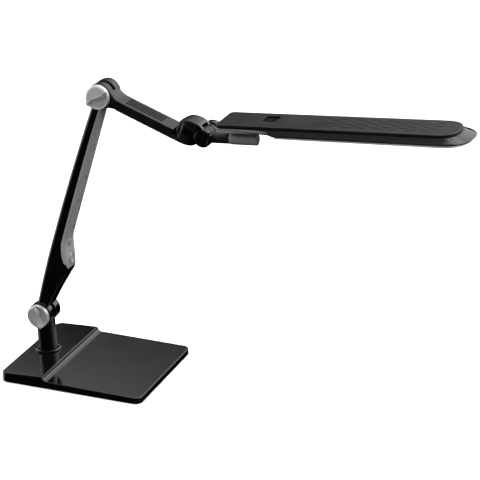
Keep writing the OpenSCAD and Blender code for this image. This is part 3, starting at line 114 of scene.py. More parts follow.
# %% The room's own brightness
def room(world):
    """Brightness by direction. The back wall brightens along z - 0.6 x, which gives the base its slow gradient. A
    window behind brightens along x, for the upper arm and the step. Ceiling and side walls add a soft glow, and
    below the horizon all turns dark. The camera itself sees white."""
    world.use_nodes = True
    t = world.node_tree
    t.nodes.clear()

    def step(source, low, high, first, last, kind="SMOOTHSTEP"):
        """A step of a value between low and high, running from first to last."""
        node = t.nodes.new("ShaderNodeMapRange")
        node.interpolation_type = kind
        for key, value in (("From Min", low), ("From Max", high), ("To Min", first), ("To Max", last)):
            node.inputs[key].default_value = value
        t.links.new(source, node.inputs["Value"])
        return node.outputs["Result"]

    def arithmetic(kind, one, two):
        """One arithmetic step on two values."""
        node = t.nodes.new("ShaderNodeMath")
        node.operation = kind
        for k, value in enumerate((one, two)):
            if isinstance(value, (int, float)):
                node.inputs[k].default_value = value
            else:
                t.links.new(value, node.inputs[k])
        return node.outputs[0]

    direction = t.nodes.new("ShaderNodeTexCoord")
    parts = t.nodes.new("ShaderNodeSeparateXYZ")
    t.links.new(direction.outputs["Generated"], parts.inputs[0])
    x, y, z = (parts.outputs[k] for k in "XYZ")
    slant = arithmetic("ADD", z, arithmetic("MULTIPLY", x, -0.6))
    behind = step(y, 0.05, 0.4, 0, 1)
    back = arithmetic("MULTIPLY", step(slant, *BACK_WALL), behind)
    window = arithmetic("MULTIPLY", step(x, *WINDOW, kind="LINEAR"),
                        arithmetic("MULTIPLY", step(z, 0.02, 0.22, 0, 1), behind))
    high = step(z, *CEILING)
    left = step(arithmetic("MULTIPLY", x, -1.0), *LEFT_WALL)
    right = step(x, *RIGHT_WALL)
    upper = arithmetic("MULTIPLY", arithmetic("ADD", arithmetic("ADD", back, window), high),
                       step(z, -0.02, 0.12, 0, 1))
    walls = arithmetic("MULTIPLY", arithmetic("ADD", left, right), step(z, -0.75, 0.0, 0, 1))
    reflected = t.nodes.new("ShaderNodeBackground")
    reflected.inputs["Color"].default_value = (0.96, 0.985, 1.0, 1)
    t.links.new(arithmetic("ADD", upper, walls), reflected.inputs["Strength"])
    seen = t.nodes.new("ShaderNodeBackground")
    seen.inputs["Color"].default_value = (1, 1, 1, 1)
    path = t.nodes.new("ShaderNodeLightPath")
    mix = t.nodes.new("ShaderNodeMixShader")
    out = t.nodes.new("ShaderNodeOutputWorld")
    t.links.new(path.outputs["Is Camera Ray"], mix.inputs[0])
    t.links.new(reflected.outputs[0], mix.inputs[1])
    t.links.new(seen.outputs[0], mix.inputs[2])
    t.links.new(mix.outputs[0], out.inputs[0])


# Each is (from, to, brightness at from, brightness at to), along the wall's own direction
BACK_WALL = (0.62, 0.74, 0.0, 0.8)
WINDOW = (-0.40, 0.30, 0.0, 2.0)
CEILING = (0.60, 0.95, 0.0, 0.25)
LEFT_WALL = (0.78, 0.98, 0.0, 1.3)
RIGHT_WALL = (0.80, 0.98, 0.0, 0.3)
scene.world = scene.world or bpy.data.worlds.new("studio")
room(scene.world)
scene.view_settings.view_transform = "Standard"


# %% Soft boxes
def soft_box(name, place, target, wide, high, watts):
    """A rectangle lamp of wide by high metres at place, turned to face target and not mirrored by gloss."""
    data = bpy.data.lights.new(name, "AREA")
    data.shape, data.size, data.size_y, data.energy = "RECTANGLE", wide, high, watts
    lamp = bpy.data.objects.new(name, data)
    lamp.location = place
    lamp.rotation_euler = (Vector(target) - Vector(place)).to_track_quat("-Z", "Y").to_euler()
    scene.collection.objects.link(lamp)
    lamp.visible_glossy = False


soft_box("top_box", (0.1, 0.3, 2.6), (0.1, 0, 0.2), 2.4, 2.0, 95)
soft_box("key_box", (-1.4, -2.2, 1.7), (0.05, 0, 0.25), 1.1, 1.1, 55)
soft_box("right_box", (2.2, -0.9, 1.0), (0, 0, 0.3), 0.6, 1.4, 26)

# %% [markdown]
# ## Finishes
#
# Each finish starts from one recipe, because the real ones share the same causes: a base colour that drifts a
# little, a roughness that changes where hands and moulds have worked, a fine relief, and a thin rounding of every
# edge, which is what catches a line of light. The recipe reads Object coordinates, so the grain stays on the part
# when a joint moves it, and its scales are per metre, because the parts are in metres.


# %% The recipe for a finish
def finish(name, dark, light, rough=(0.3, 0.4), drift=60, grain=2500, relief=0.05, edge=0.4, metallic=0.0,
           stretch=(1, 1, 1), sockets=None):
    """Colour runs from dark to light with a cloud of size 1/drift metres, roughness runs over rough with the same
    cloud, and the normal is the bevelled edge normal of radius edge mm, shaken by a grain of size 1/grain metres."""
    m = bpy.data.materials.new(name)
    m.use_nodes = True
    t = m.node_tree
    shader = t.nodes["Principled BSDF"]
    spot = t.nodes.new("ShaderNodeTexCoord")
    turn = t.nodes.new("ShaderNodeMapping")
    turn.inputs["Scale"].default_value = stretch
    t.links.new(spot.outputs["Object"], turn.inputs["Vector"])
    cloud = t.nodes.new("ShaderNodeTexNoise")
    cloud.inputs["Scale"].default_value = drift
    cloud.inputs["Detail"].default_value = 4
    t.links.new(turn.outputs["Vector"], cloud.inputs["Vector"])
    ramp = t.nodes.new("ShaderNodeValToRGB")
    ramp.color_ramp.elements[0].position, ramp.color_ramp.elements[1].position = 0.35, 0.68
    ramp.color_ramp.elements[0].color = (*dark, 1)
    ramp.color_ramp.elements[1].color = (*light, 1)
    t.links.new(cloud.outputs["Fac"], ramp.inputs["Fac"])
    t.links.new(ramp.outputs["Color"], shader.inputs["Base Color"])
    dull = t.nodes.new("ShaderNodeMapRange")
    dull.inputs["From Min"].default_value, dull.inputs["From Max"].default_value = 0.3, 0.7
    dull.inputs["To Min"].default_value, dull.inputs["To Max"].default_value = rough
    t.links.new(cloud.outputs["Fac"], dull.inputs["Value"])
    t.links.new(dull.outputs["Result"], shader.inputs["Roughness"])
    fine = t.nodes.new("ShaderNodeTexNoise")
    fine.inputs["Scale"].default_value = grain
    fine.inputs["Detail"].default_value = 2
    t.links.new(turn.outputs["Vector"], fine.inputs["Vector"])
    bump = t.nodes.new("ShaderNodeBump")
    bump.inputs["Strength"].default_value = relief
    bump.inputs["Distance"].default_value = 0.0004
    t.links.new(fine.outputs["Fac"], bump.inputs["Height"])
    rounding = t.nodes.new("ShaderNodeBevel")
    rounding.samples = 4
    rounding.inputs["Radius"].default_value = edge * MM
    t.links.new(rounding.outputs["Normal"], bump.inputs["Normal"])
    t.links.new(bump.outputs["Normal"], shader.inputs["Normal"])
    shader.inputs["Metallic"].default_value = metallic
    for key, value in (sockets or {}).items():
        shader.inputs[key].default_value = value
    return m


# %% [markdown]
# ### The lamp's own finishes
#
# Gloss black is a polished mould: nearly no grain and a low roughness. Satin black has been etched, so its grain is
# finer and it spreads the light. The silver is paint with metal flakes on plastic, so it is partly a metal, and the
# knobs have a little more of it than the panel; their base colour is also lighter, as painted light in place of
# highlights. The head's bracket is anodised aluminium, brushed along its length, which is a grain squeezed along x.
# Matt black is for the switch, and for the thin sheets of painted shade under the slots and in the switch's well.
# Nylon, brass, zinc, steel, foam and the circuit boards are inside, or show only from below.

# %% Finishes of the lamp
FINISH = {
    "black_gloss": finish("black_gloss", (0.002, 0.002, 0.0022), (0.0035, 0.0035, 0.004), (0.06, 0.1), 45, 900,
                          0.015, 0.5, sockets={"IOR": 1.5, "Coat Weight": 0.4, "Coat Roughness": 0.03}),
    "black_satin": finish("black_satin", (0.005, 0.0053, 0.0056), (0.008, 0.0083, 0.0087), (0.28, 0.34), 60, 5000,
                          0.1, 0.6, sockets={"IOR": 1.52}),
    "silver_paint": finish("silver_paint", (0.44, 0.45, 0.455), (0.50, 0.51, 0.515), (0.26, 0.34), 70, 7000,
                           0.08, 0.4, metallic=0.3, sockets={"Coat Weight": 0.25, "Coat Roughness": 0.15}),
    # Painted light: the knobs' silver paint, with a base colour lighter than the panel's in place of highlights
    "knob_silver_with_painted_light": finish("knob_silver_with_painted_light", (0.52, 0.53, 0.535), (0.60, 0.61, 0.615), (0.2, 0.26), 70, 7000,
                          0.06, 0.4, metallic=0.4, sockets={"Coat Weight": 0.2, "Coat Roughness": 0.1}),
    "silver_metal": finish("silver_metal", (0.27, 0.28, 0.29), (0.33, 0.34, 0.35), (0.28, 0.36), 40, 4000,
                           0.1, 0.4, metallic=0.3, stretch=(0.06, 1, 1)),
    "steel": finish("steel", (0.36, 0.37, 0.38), (0.5, 0.5, 0.5), (0.25, 0.4), 80, 3000, 0.2, 0.2, metallic=1,
                    stretch=(1, 0.1, 1)),
    "dark_steel": finish("dark_steel", (0.012, 0.012, 0.013), (0.03, 0.03, 0.031), (0.4, 0.55), 120, 3000, 0.2, 0.2,
                         metallic=0.6),
    "zinc": finish("zinc", (0.42, 0.42, 0.4), (0.62, 0.61, 0.57), (0.28, 0.42), 300, 4000, 0.2, 0.15, metallic=1),
    "brass": finish("brass", (0.42, 0.27, 0.09), (0.62, 0.43, 0.17), (0.22, 0.35), 250, 4000, 0.15, 0.15,
                    metallic=1),
    "nylon": finish("nylon", (0.62, 0.6, 0.54), (0.76, 0.74, 0.68), (0.45, 0.55), 120, 3000, 0.15, 0.15,
                    sockets={"Subsurface Weight": 0.1}),
    "foam": finish("foam", (0.008, 0.008, 0.008), (0.025, 0.025, 0.025), (0.85, 0.95), 400, 1500, 0.9, 0.1),
    "board_green": finish("board_green", (0.01, 0.06, 0.03), (0.02, 0.1, 0.05), (0.3, 0.4), 500, 2500, 0.3, 0.1),
    "board_white": finish("board_white", (0.66, 0.66, 0.64), (0.78, 0.78, 0.76), (0.35, 0.5), 200, 3000, 0.1, 0.1),
    "frost": finish("frost", (0.7, 0.7, 0.68), (0.78, 0.78, 0.76), (0.5, 0.6), 150, 2500, 0.12, 0.2,
                    sockets={"Subsurface Weight": 0.2}),
    "pale_trim": finish("pale_trim", (0.42, 0.43, 0.42), (0.5, 0.51, 0.5), (0.3, 0.4), 60, 3500, 0.06, 0.4),
    "emitter": finish("emitter", (0.72, 0.6, 0.2), (0.85, 0.74, 0.3), (0.3, 0.4), 900, 5000, 0.1, 0.05),
    # Matt black also serves the sheets of painted shade under the slots and in the switch's well
    "matt_black": finish("matt_black", (0.002, 0.002, 0.002), (0.004, 0.004, 0.004), (0.7, 0.85), 200, 3500, 0.4,
                         0.1, sockets={"Specular IOR Level": 0.2}),
    "dark_part": finish("dark_part", (0.01, 0.01, 0.011), (0.02, 0.02, 0.021), (0.35, 0.5), 150, 3500, 0.2, 0.2),
}
print("finishes:", ", ".join(FINISH))

# %% Paint every part of the frame
part_finish = {
    "black_gloss": "base_shell post_collar post lower_bolt_cap lower_arm_shell elbow_bolt_cap knuckle tilt_caps "
                   "roll_shaft head_housing",
    "black_satin": "base_bottom upper_arm_body upper_arm_bottom knuckle_cap head_cover",
    "silver_paint": "lower_knob front_panel power_button mode_button elbow_knob",
    "silver_metal": "head_bracket sleeve_cap",
    "steel": "base_weight post_washer roll_washer",
    "dark_steel": "lower_bar",
    "zinc": "base_screws post_nut lower_bolt panel_screws upper_arm_screws elbow_bolt swivel_bolt swivel_nut "
            "tilt_axle roll_screw head_screws",
    "brass": "lower_knob_nut elbow_knob_nut",
    "nylon": "swivel_bush lower_washers elbow_washers swivel_washer tilt_washers",
    "foam": "base_pad",
    "board_green": "control_board driver_board",
    "board_white": "led_board heat_plate",
    "frost": "diffuser reflector",
    "pale_trim": "head_bezel",
    "emitter": "leds",
    "dark_part": "power_inlet tact_switches",
    "matt_black": "switch_body slide_knob",
}
painted = 0
for key, names in part_finish.items():
    for name in names.split():
        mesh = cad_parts[name].data
        mesh.materials.clear()
        mesh.materials.append(FINISH[key])
        painted += 1
print("parts painted:", painted, "of", len(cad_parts))

# %% [markdown]
# ## Tools for surfaces
#
# Every new part is a closed skin worked out as one numpy array of rings: ring after ring of points, joined by
# quads. Most of the lamp is moulded in thick plates with a soft edge, so the main shape is a **pillow**: a closed
# outline that is pushed out to some thickness while its edge follows a quarter circle at both faces. Turned parts
# are a profile carried round an axis. Openings are then cut with a Boolean modifier, which is applied at once.

# %% Closed skins
def skin(rings):
    """Rings (m, n, 3) become vertices; quads join ring i to ring i + 1, and both ends are closed by one face."""
    m, n = rings.shape[:2]
    i, j = np.meshgrid(np.arange(m - 1), np.arange(n), indexing="ij")
    k = (j + 1) % n
    quads = np.stack([i * n + j, i * n + k, (i + 1) * n + k, (i + 1) * n + j], -1).reshape(-1, 4)
    ends = [list(range(n - 1, -1, -1)), list(range((m - 1) * n, m * n))]
    return rings.reshape(-1, 3), quads.tolist() + ends


def closed_turn(curve):
    """Unit normals of a closed outline (n, 2) that runs counterclockwise: the chord across each point, turned
    by a quarter turn to the right, so they point out of the shape."""
    chord = np.roll(curve, -1, 0) - np.roll(curve, 1, 0)
    out = np.stack([chord[:, 1], -chord[:, 0]], -1)
    return out / np.maximum(np.linalg.norm(out, axis=1, keepdims=True), 1e-9)


def pillow(curve, low, high, r_low, r_high, steps=5):
    """Rings of an outline pushed from low to high. At face w the outline is drawn in by r(1 - sin a) while w
    moves in by r(1 - cos a), a from 0 to 90 degrees. A support ring on each face keeps the flat part flat."""
    out = closed_turn(curve)
    a = np.radians(np.linspace(0, 90, steps + 1))
    draw = np.concatenate([[r_low + 0.35], r_low * (1 - np.sin(a)), r_high * (1 - np.sin(a[::-1])), [r_high + 0.35]])
    up = np.concatenate([[0], r_low * (1 - np.cos(a)), -r_high * (1 - np.cos(a[::-1])), [0]])
    low, high = np.broadcast_to(low, len(curve)), np.broadcast_to(high, len(curve))
    side = np.arange(len(draw)) >= steps + 2
    w = np.where(side[:, None], high[None], low[None]) + up[:, None]
    flat = curve[None] - draw[:, None, None] * out[None]
    return np.concatenate([flat, w[:, :, None]], -1)


def turned(profile, around=72):
    """Rings of a profile (m, 2) of radius and height, carried round the third axis."""
    t = np.linspace(0, 2 * np.pi, around, endpoint=False)
    r, h = np.array(profile, float).T
    return np.stack([r[:, None] * np.cos(t), r[:, None] * np.sin(t), np.repeat(h[:, None], around, 1)], -1)


def soft_profile(points, radius, steps=4):
    """A profile of radius and height whose inner corners are rounded: each is replaced by a quadratic curve that
    starts and ends at radius mm from it."""
    p = np.array(points, float)
    rows = [p[:1]]
    t = np.linspace(0, 1, steps + 1)[:, None]
    for a, b, c in zip(p[:-2], p[1:-1], p[2:]):
        r1 = min(radius, 0.45 * np.linalg.norm(a - b))
        r2 = min(radius, 0.45 * np.linalg.norm(c - b))
        s = b + (a - b) / max(np.linalg.norm(a - b), 1e-9) * r1
        e = b + (c - b) / max(np.linalg.norm(c - b), 1e-9) * r2
        rows.append((1 - t) ** 2 * s + 2 * t * (1 - t) * b + t ** 2 * e)
    rows.append(p[-1:])
    return np.concatenate(rows)


def soft_outline(points, radius, steps=6):
    """A closed polygon (counterclockwise) whose corners become quadratic curves; radius may differ by corner."""
    p = np.array(points, float)
    radius = np.broadcast_to(radius, len(p))
    t = np.linspace(0, 1, steps + 1)[:, None]
    rows = []
    for a, b, c, r in zip(np.roll(p, 1, 0), p, np.roll(p, -1, 0), radius):
        s = b + (a - b) / np.linalg.norm(a - b) * min(r, 0.48 * np.linalg.norm(a - b))
        e = b + (c - b) / np.linalg.norm(c - b) * min(r, 0.48 * np.linalg.norm(c - b))
        rows.append((1 - t) ** 2 * s + 2 * t * (1 - t) * b + t ** 2 * e)
    return np.concatenate(rows)


def disc(r, n=96):
    """A circle of radius r, counterclockwise."""
    t = np.linspace(0, 2 * np.pi, n, endpoint=False)
    return r * np.stack([np.cos(t), np.sin(t)], -1)


# %% Places in the lamp
def pitch(degrees):
    """The rotation about y that takes x towards minus z."""
    c, s = np.cos(np.radians(degrees)), np.sin(np.radians(degrees))
    return np.array([[c, 0, s], [0, 1, 0], [-s, 0, c]])


UPRIGHT = np.eye(3)
PLACE = {                                   # how each part of the lamp is turned, and where its origin is
    "base": (UPRIGHT, (0, 0, 0)),
    "post": (pitch(-2.8), (-72, 0, 14.369)),
    "lower_hinge": (UPRIGHT, (-76.070, 0, 68.936)),
    "lower_arm": (pitch(17.1), (-76.070, 0, 68.936)),
    "upper_arm": (pitch(20.5), (20.875, 0, 384.061)),
    "wrist": (pitch(20.5), (133.744, 0, 341.861)),
    "head": (pitch(-4.1), (160.064, 0, 344.297)),
}


def placed(local, place):
    """Points in a part's own x, y and z, turned and moved to their place in the lamp."""
    rotation, origin = PLACE[place]
    return local @ rotation.T + np.array(origin)


def put(points, place, axes="xyz"):
    """Points in mm are read as the axes named (u, v, w), and taken to their place."""
    p = np.array(points, float)
    u, v, w = p[..., 0], p[..., 1], p[..., 2]
    local = {"xyz": (u, v, w),             # plans: pushed up
             "xzy": (u, -w, v)}[axes]      # side outlines: pushed towards the near side
    return placed(np.stack(local, -1), place)


def plate(outline, low, high, r_low, r_high, place, axes="xyz", steps=5):
    """The closed skin of a pillow at its place."""
    return skin(put(pillow(outline, low, high, r_low, r_high, steps), place, axes))


# %% From arrays to pieces
def solid(name, skins):
    """One object from one or more closed skins: doubles are merged and the faces turned outwards."""
    work = bmesh.new()
    for points, faces in skins:
        part = bpy.data.meshes.new(name)
        part.from_pydata((points * MM).tolist(), [], faces)
        work.from_mesh(part)
        bpy.data.meshes.remove(part)
    bmesh.ops.remove_doubles(work, verts=work.verts, dist=0.02 * MM)
    bmesh.ops.dissolve_degenerate(work, edges=work.edges, dist=0.005 * MM)
    bmesh.ops.recalc_face_normals(work, faces=work.faces)
    mesh = bpy.data.meshes.new(name)
    work.to_mesh(mesh)
    work.free()
    piece = bpy.data.objects.new(name, mesh)
    scene.collection.objects.link(piece)
    return piece


def shaped(piece, *skins, how="DIFFERENCE"):
    """Cut, join or keep the overlap of a piece with a tool of these skins, and throw the tool away."""
    tool = solid("tool", skins)
    change = piece.modifiers.new("shape", "BOOLEAN")
    change.operation, change.object, change.solver = how, tool, "MANIFOLD"
    deps = bpy.context.evaluated_depsgraph_get()
    mesh = bpy.data.meshes.new_from_object(piece.evaluated_get(deps))
    piece.modifiers.clear()
    old, piece.data = piece.data, mesh
    bpy.data.meshes.remove(old)
    bpy.data.objects.remove(tool)
    if not len(mesh.polygons):
        raise RuntimeError("nothing is left of " + piece.name)
    return piece


def box_skin(x, y, z, place):
    """A block between two x, two y and two z, as a tool."""
    corners = np.array([[x[0], y[0]], [x[1], y[0]], [x[1], y[1]], [x[0], y[1]]], float)
    rings = np.stack([np.column_stack([corners, np.full(4, h)]) for h in z])
    return skin(put(rings, place))


def made(piece, body, look, replaces=(), smooth=32):
    """Finish, soft shading up to an angle, the body it rides on and the nodes it stands for."""
    mesh = piece.data
    mesh.materials.clear()
    mesh.materials.append(FINISH[look])
    mesh.shade_smooth()
    mesh.set_sharp_from_angle(angle=np.radians(smooth))
    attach(piece, body)
    if replaces:
        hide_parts(*replaces)
    print(piece.name, "faces:", len(mesh.polygons))
    return piece

# %% [markdown]
# ## The base
#
# The real base is one glossy moulded cover over a steel weight: a slim wedge, with a raised deck behind, a step that
# falls steeply and then flatter, and a long slope to the front edge. It could be a scaled box with bevels, but then
# the deck, the step and the rounded corners would have to be cut one by one. Here it is a height over its plan: the
# grid's lines across stand where the height changes, the lines along follow the rounded plan, and the distance to
# the plan's edge lowers the surface along a quarter circle.

# %% Height and plan of the cover
BASE_L, BASE_D, CORNER = 200.0, 173.0, 10.0
STEP_X, FOOT_H, FRONT_H, REAR_H = -39.3, 9.8, 8.5, 13.0
DECK_DEG = 2.8                              # the deck's slope, which the post stands square to
STEP_H = REAR_H + (STEP_X + BASE_L / 2) * np.tan(np.radians(DECK_DEG))
STEP_AT = np.array([-0.7, 0, 0.35, 1.75, 2.3, 5.9, 6.5, 7.2])                  # mm ahead of the step's top edge
STEP_FALL = np.array([0.005, 0.03, 0.12, 0.61, 0.71, 0.965, 0.992, 1.001])     # share of the step's fall there
WALL, TOP_EDGE = 2.4, 1.3


def deck_height(x):
    """The deck rises by 2.8 degrees to the step, which falls steeply, then flatter, to a long slope to the front."""
    bend = np.concatenate([[-BASE_L / 2], STEP_X + STEP_AT, [BASE_L / 2]])
    level = np.concatenate([[REAR_H], STEP_H - (STEP_H - FOOT_H) * STEP_FALL, [FRONT_H]])
    return np.interp(x, bend, level)


def plan_half(x, half_l, half_d, r):
    """Half width of a rounded rectangle at x: the corner is a quarter circle of radius r."""
    over = np.clip(np.abs(x) - (half_l - r), 0, r)
    return half_d - r + np.sqrt(np.maximum(r * r - over * over, 0))


def plan_depth(x, y, half_l, half_d, r):
    """Distance from a point inside a rounded rectangle to its edge."""
    qx, qy = np.abs(x) - (half_l - r), np.abs(y) - (half_d - r)
    outside = np.hypot(np.maximum(qx, 0), np.maximum(qy, 0)) + np.minimum(np.maximum(qx, qy), 0)
    return r - outside


def cover_block(inset, drop, low, edge):
    """A closed block: rings of constant x go over the top from side to side and back along the flat underside."""
    half_l, half_d, r = BASE_L / 2 - inset, BASE_D / 2 - inset, CORNER - inset
    a = np.radians(np.linspace(0, 90, 15))
    ends = half_l - r + r * np.sin(a)
    x = np.unique(np.round(np.concatenate([
        -ends, ends, [-half_l + 0.15, half_l - 0.15], np.linspace(-half_l + r, half_l - r, 34),
        STEP_X + STEP_AT, STEP_X + np.array([-1.4, 1.05, 4.1, 8.0])]), 3))
    fine = np.array([0, 0.06, 0.2, 0.42, 0.75, 1.2, 1.9, 3.5])
    across = np.concatenate([-1 + fine / half_d, np.linspace(-0.92, 0.92, 19), 1 - fine[::-1] / half_d])
    y = plan_half(x, half_l, half_d, r)[:, None] * across[None]
    xx = np.repeat(x[:, None], len(across), 1)
    depth = np.clip(plan_depth(xx, y, half_l, half_d, r), 0, edge)
    top = deck_height(xx) - drop - (edge - np.sqrt(np.maximum(edge ** 2 - (edge - depth) ** 2, 0)))
    over = np.stack([xx, y, top], -1)
    under = np.stack([xx, y, np.full_like(y, low)], -1)[:, ::-1]
    return skin(np.concatenate([over, under], 1))


# %% The base cover: a shell, open below, with a bore for the post and a hole for the supply socket
cover = solid("base_cover", [cover_block(0, 0, 0.6, TOP_EDGE)])
shaped(cover, cover_block(WALL, WALL, -4.0, 0.5))
shaped(cover, skin(put(turned([(10.65, -8), (10.65, 6)], 48), "post")))
INLET_Y, INLET_Z, INLET_R = 43.25, 6.85, 3.5
bore = turned([(INLET_R, -104), (INLET_R, -96)], 40)
shaped(cover, skin(np.stack([bore[..., 2], INLET_Y + bore[..., 0], INLET_Z + bore[..., 1]], -1)))
made(cover, "base", "black_gloss", ["base_shell"])

# %% [markdown]
# ## Post, collar and hinge fork
#
# The post is a turned column that stands in a glossy ring. Its top is a fork: a round cheek on either side of the
# lower arm's steel eye. The column and the ring are profiles carried round the post's axis, the cheeks are discs
# with soft edges, and a union makes the fork one moulding.

# %% Post
HALF, SLOT = 13.5, 3.3                      # half widths of a fork, and of the slot between its cheeks
fork = solid("post_fork", [skin(put(turned(soft_profile(
    [(0, 0.15), (12.9, 0.15), (12.5, 3), (12.5, 46), (11.5, 50), (0, 50)], 1.5)), "post"))])


def cheek(r, y0, y1, edge, place="lower_hinge"):
    """A disc of radius r between two distances along y, its rims rounded by edge mm."""
    return plate(disc(r), -y1, -y0, edge, edge, place, "xzy")


for r, y0, y1 in ((16.7, -HALF, -SLOT), (16.2, SLOT, HALF)):
    shaped(fork, cheek(r, y0, y1, 0.8), how="UNION")
web_t = np.radians(np.linspace(228, 312, 40))
web = pillow(16.1 * np.stack([np.cos(web_t), np.sin(web_t)], -1), -HALF + 0.3, HALF - 0.3, 0.1, 0.1)
shaped(fork, skin(put(web, "lower_hinge", "xzy")), how="UNION")
made(fork, "post", "black_gloss", ["post"])

# %% Collar and the cap over the lower bolt
collar = solid("collar_ring", [skin(put(turned(soft_profile(
    [(12.75, 0.02), (17.5, 0.02), (17.3, 2.2), (16.2, 3.0), (13.6, 3.0), (12.75, 1.2)], 0.8), 96), "post"))])
made(collar, "base", "black_gloss", ["post_collar"])


def bolt_cap(name, place, body, node):
    """A shallow stepped lid over a hinge bolt: a profile round the hinge's axis, on the far side."""
    rings = turned(soft_profile([(0, 0), (15.6, 0), (15.8, 0.2), (15.8, 4.0), (14.9, 4.6), (14.6, 5.8),
                                 (3, 6.0), (0, 6.0)], 0.5), 96)
    local = np.stack([rings[..., 0], HALF + rings[..., 2], rings[..., 1]], -1)
    return made(solid(name, [skin(placed(local, place))]), body, "black_gloss", [node])


bolt_cap("lower_cap", "lower_hinge", "post", "lower_bolt_cap")
bolt_cap("elbow_cap", "upper_arm", "upper_arm", "elbow_bolt_cap")

# %% [markdown]
# ## The lower arm
#
# The real arm is a hollow black moulding with a silver panel let into its front. Its sides run almost straight, the
# back is rounded, and low down the front swells into a chin. One formula gives the section at each distance along
# the arm, so the whole arm is a single loft. The shell and the panel are then cut from it along the same seam, with
# a thin groove between them, which is how the two real mouldings meet.

# %% Outline of the arm, seen from the side
ARM_L, CHIN_AT, ARM_HALF = 329.7, 75.7, 15.0
HINGE_ROOM_R, PANEL_LOW, PAST_END = 17.5, 78.7, 340.0


def ahead(s):
    """The arm leans 2 mm to the front at the lower hinge and comes back to its line at the elbow."""
    return 2 * (1 - s / ARM_L)


def arm_rear(s):
    """The back: bowed in as the square of the distance from 105.7 mm up."""
    up, down = np.clip(s - 105.7, 0, None) / 201, np.clip(105.7 - s, 0, None) / 82.7
    return ahead(s) - 12.5 + 5.1 * up ** 2 + 2.2 * down ** 2


def chin(s):
    """0 to 1: half a cosine wave above the chin, and a power of 1.2 below it."""
    above = 0.5 + 0.5 * np.cos(np.pi * np.clip((s - CHIN_AT) / 50, 0, 1))
    below = np.clip(1 - (CHIN_AT - s) / 62, 0, 1) ** 1.2
    return np.where(s > CHIN_AT, above, below)


def arm_front(s):
    """The front: 5.6 mm ahead of the axis, and 13.3 mm more at the chin."""
    return ahead(s) + 5.6 + 13.3 * chin(s)


def seam_line(s):
    """Where the panel meets the shell: a cubic that opens upwards, and a power of 2.2 that runs out to the chin."""
    wide = 5.6 + 13.3 * chin(np.array(79.7))
    up = np.clip(s - 120.7, 0, None) / 209
    down = np.clip(120.7 - s, 0, None) / 41
    return ahead(s) + 1.5 + 3.1 * up ** 3 + (wide - 1.5) * down ** 2.2


def arm_rings(s, inset=0.0):
    """Rounded rectangles along the arm: back corners of 5.5 mm and front corners of 3.4 mm."""
    x0, x1, w = arm_rear(s) + inset, arm_front(s) - inset, ARM_HALF - inset
    a = np.radians(np.linspace(0, 90, 8))
    rows = []
    for r, sx, sy, start in ((3.4, 1, -1, -90), (3.4, 1, 1, 0), (5.5, -1, 1, 90), (5.5, -1, -1, 180)):
        r = r - inset
        cx = (x1 if sx > 0 else x0) - sx * r
        cy = sy * (w - r)
        t = a + np.radians(start)
        rows.append(np.stack([cx[:, None] + r * np.cos(t), np.repeat(cy + r * np.sin(t)[None], len(s), 0)], -1))
    flat = np.concatenate(rows, 1)
    return np.concatenate([flat, np.repeat(s[:, None, None], flat.shape[1], 1)], -1)


def hinge_room(place):
    """A cylinder along y that leaves room for a hinge's cheeks."""
    return cheek(HINGE_ROOM_R, -20, 20, 0.3, place)


# %% Room ahead of the seam, and the shell that is left
def ahead_of_seam(gap):
    """For each distance y across, a side outline in front of the seam; its lower end rises near the arm's sides
    by 9 mm times the fourth power of |y| over the half width, so the panel's end is round."""
    y = np.concatenate([[-ARM_HALF - 2], np.linspace(-ARM_HALF, ARM_HALF, 31), [ARM_HALF + 2]])
    rise = 9 * np.clip(np.abs(y) / ARM_HALF, 0, 1) ** 4
    t = np.linspace(0, 1, 60)
    s = PANEL_LOW + gap + rise[:, None] + (PAST_END - PANEL_LOW - gap - rise[:, None]) * t[None] ** 1.4
    edge = np.stack([seam_line(s) + gap, np.repeat(y[:, None], len(t), 1), s], -1)
    far = np.stack([np.full((len(y), 2), 60.0), np.repeat(y[:, None], 2, 1),
                    np.stack([np.full(len(y), PAST_END), PANEL_LOW + gap + rise], -1)], -1)
    return skin(put(np.concatenate([edge, far], 1), "lower_arm"))


stations = np.unique(np.concatenate([
    np.linspace(4, 40, 10), np.linspace(40, 140, 51), np.linspace(140, 326, 32)]))
hollow_at = np.linspace(24, 306, 90)
bar_room = box_skin((-5.2, 1.2), (-2.6, 2.6), (2, 328), "lower_arm")

arm_shell = solid("arm_shell", [skin(put(arm_rings(stations), "lower_arm"))])
shaped(arm_shell, skin(put(arm_rings(hollow_at, 1.8), "lower_arm")))
shaped(arm_shell, ahead_of_seam(0))
shaped(arm_shell, hinge_room("lower_hinge"))
shaped(arm_shell, hinge_room("upper_arm"))
shaped(arm_shell, bar_room)
made(arm_shell, "lower_arm", "black_gloss", ["lower_arm_shell"])

# %% The silver panel
def at_face(s, points):
    """Points on the panel's face at distance s: z out of the face, whose slope is the front's own."""
    slope = np.degrees(np.arctan((arm_front(np.array(s - 1.0)) - arm_front(np.array(s + 1.0))) / 2))
    return placed(points @ pitch(90 - slope).T + np.array([float(arm_front(np.array(float(s)))), 0, s]),
                  "lower_arm")


POWER_AT, MODE_AT, POWER_R, MODE_R = 93.0, 113.7, 6.6, 3.4
panel = solid("arm_panel", [skin(put(arm_rings(stations, 0.12), "lower_arm"))])
shaped(panel, skin(put(arm_rings(hollow_at, 1.9), "lower_arm")))
shaped(panel, ahead_of_seam(0.3), how="INTERSECT")
shaped(panel, hinge_room("lower_hinge"))
shaped(panel, hinge_room("upper_arm"))
shaped(panel, bar_room)
for s, r in ((POWER_AT, POWER_R + 0.25), (MODE_AT, MODE_R + 0.2)):
    shaped(panel, skin(at_face(s, turned([(r, -6), (r, 6)], 48))))
made(panel, "lower_arm", "silver_paint", ["front_panel"])

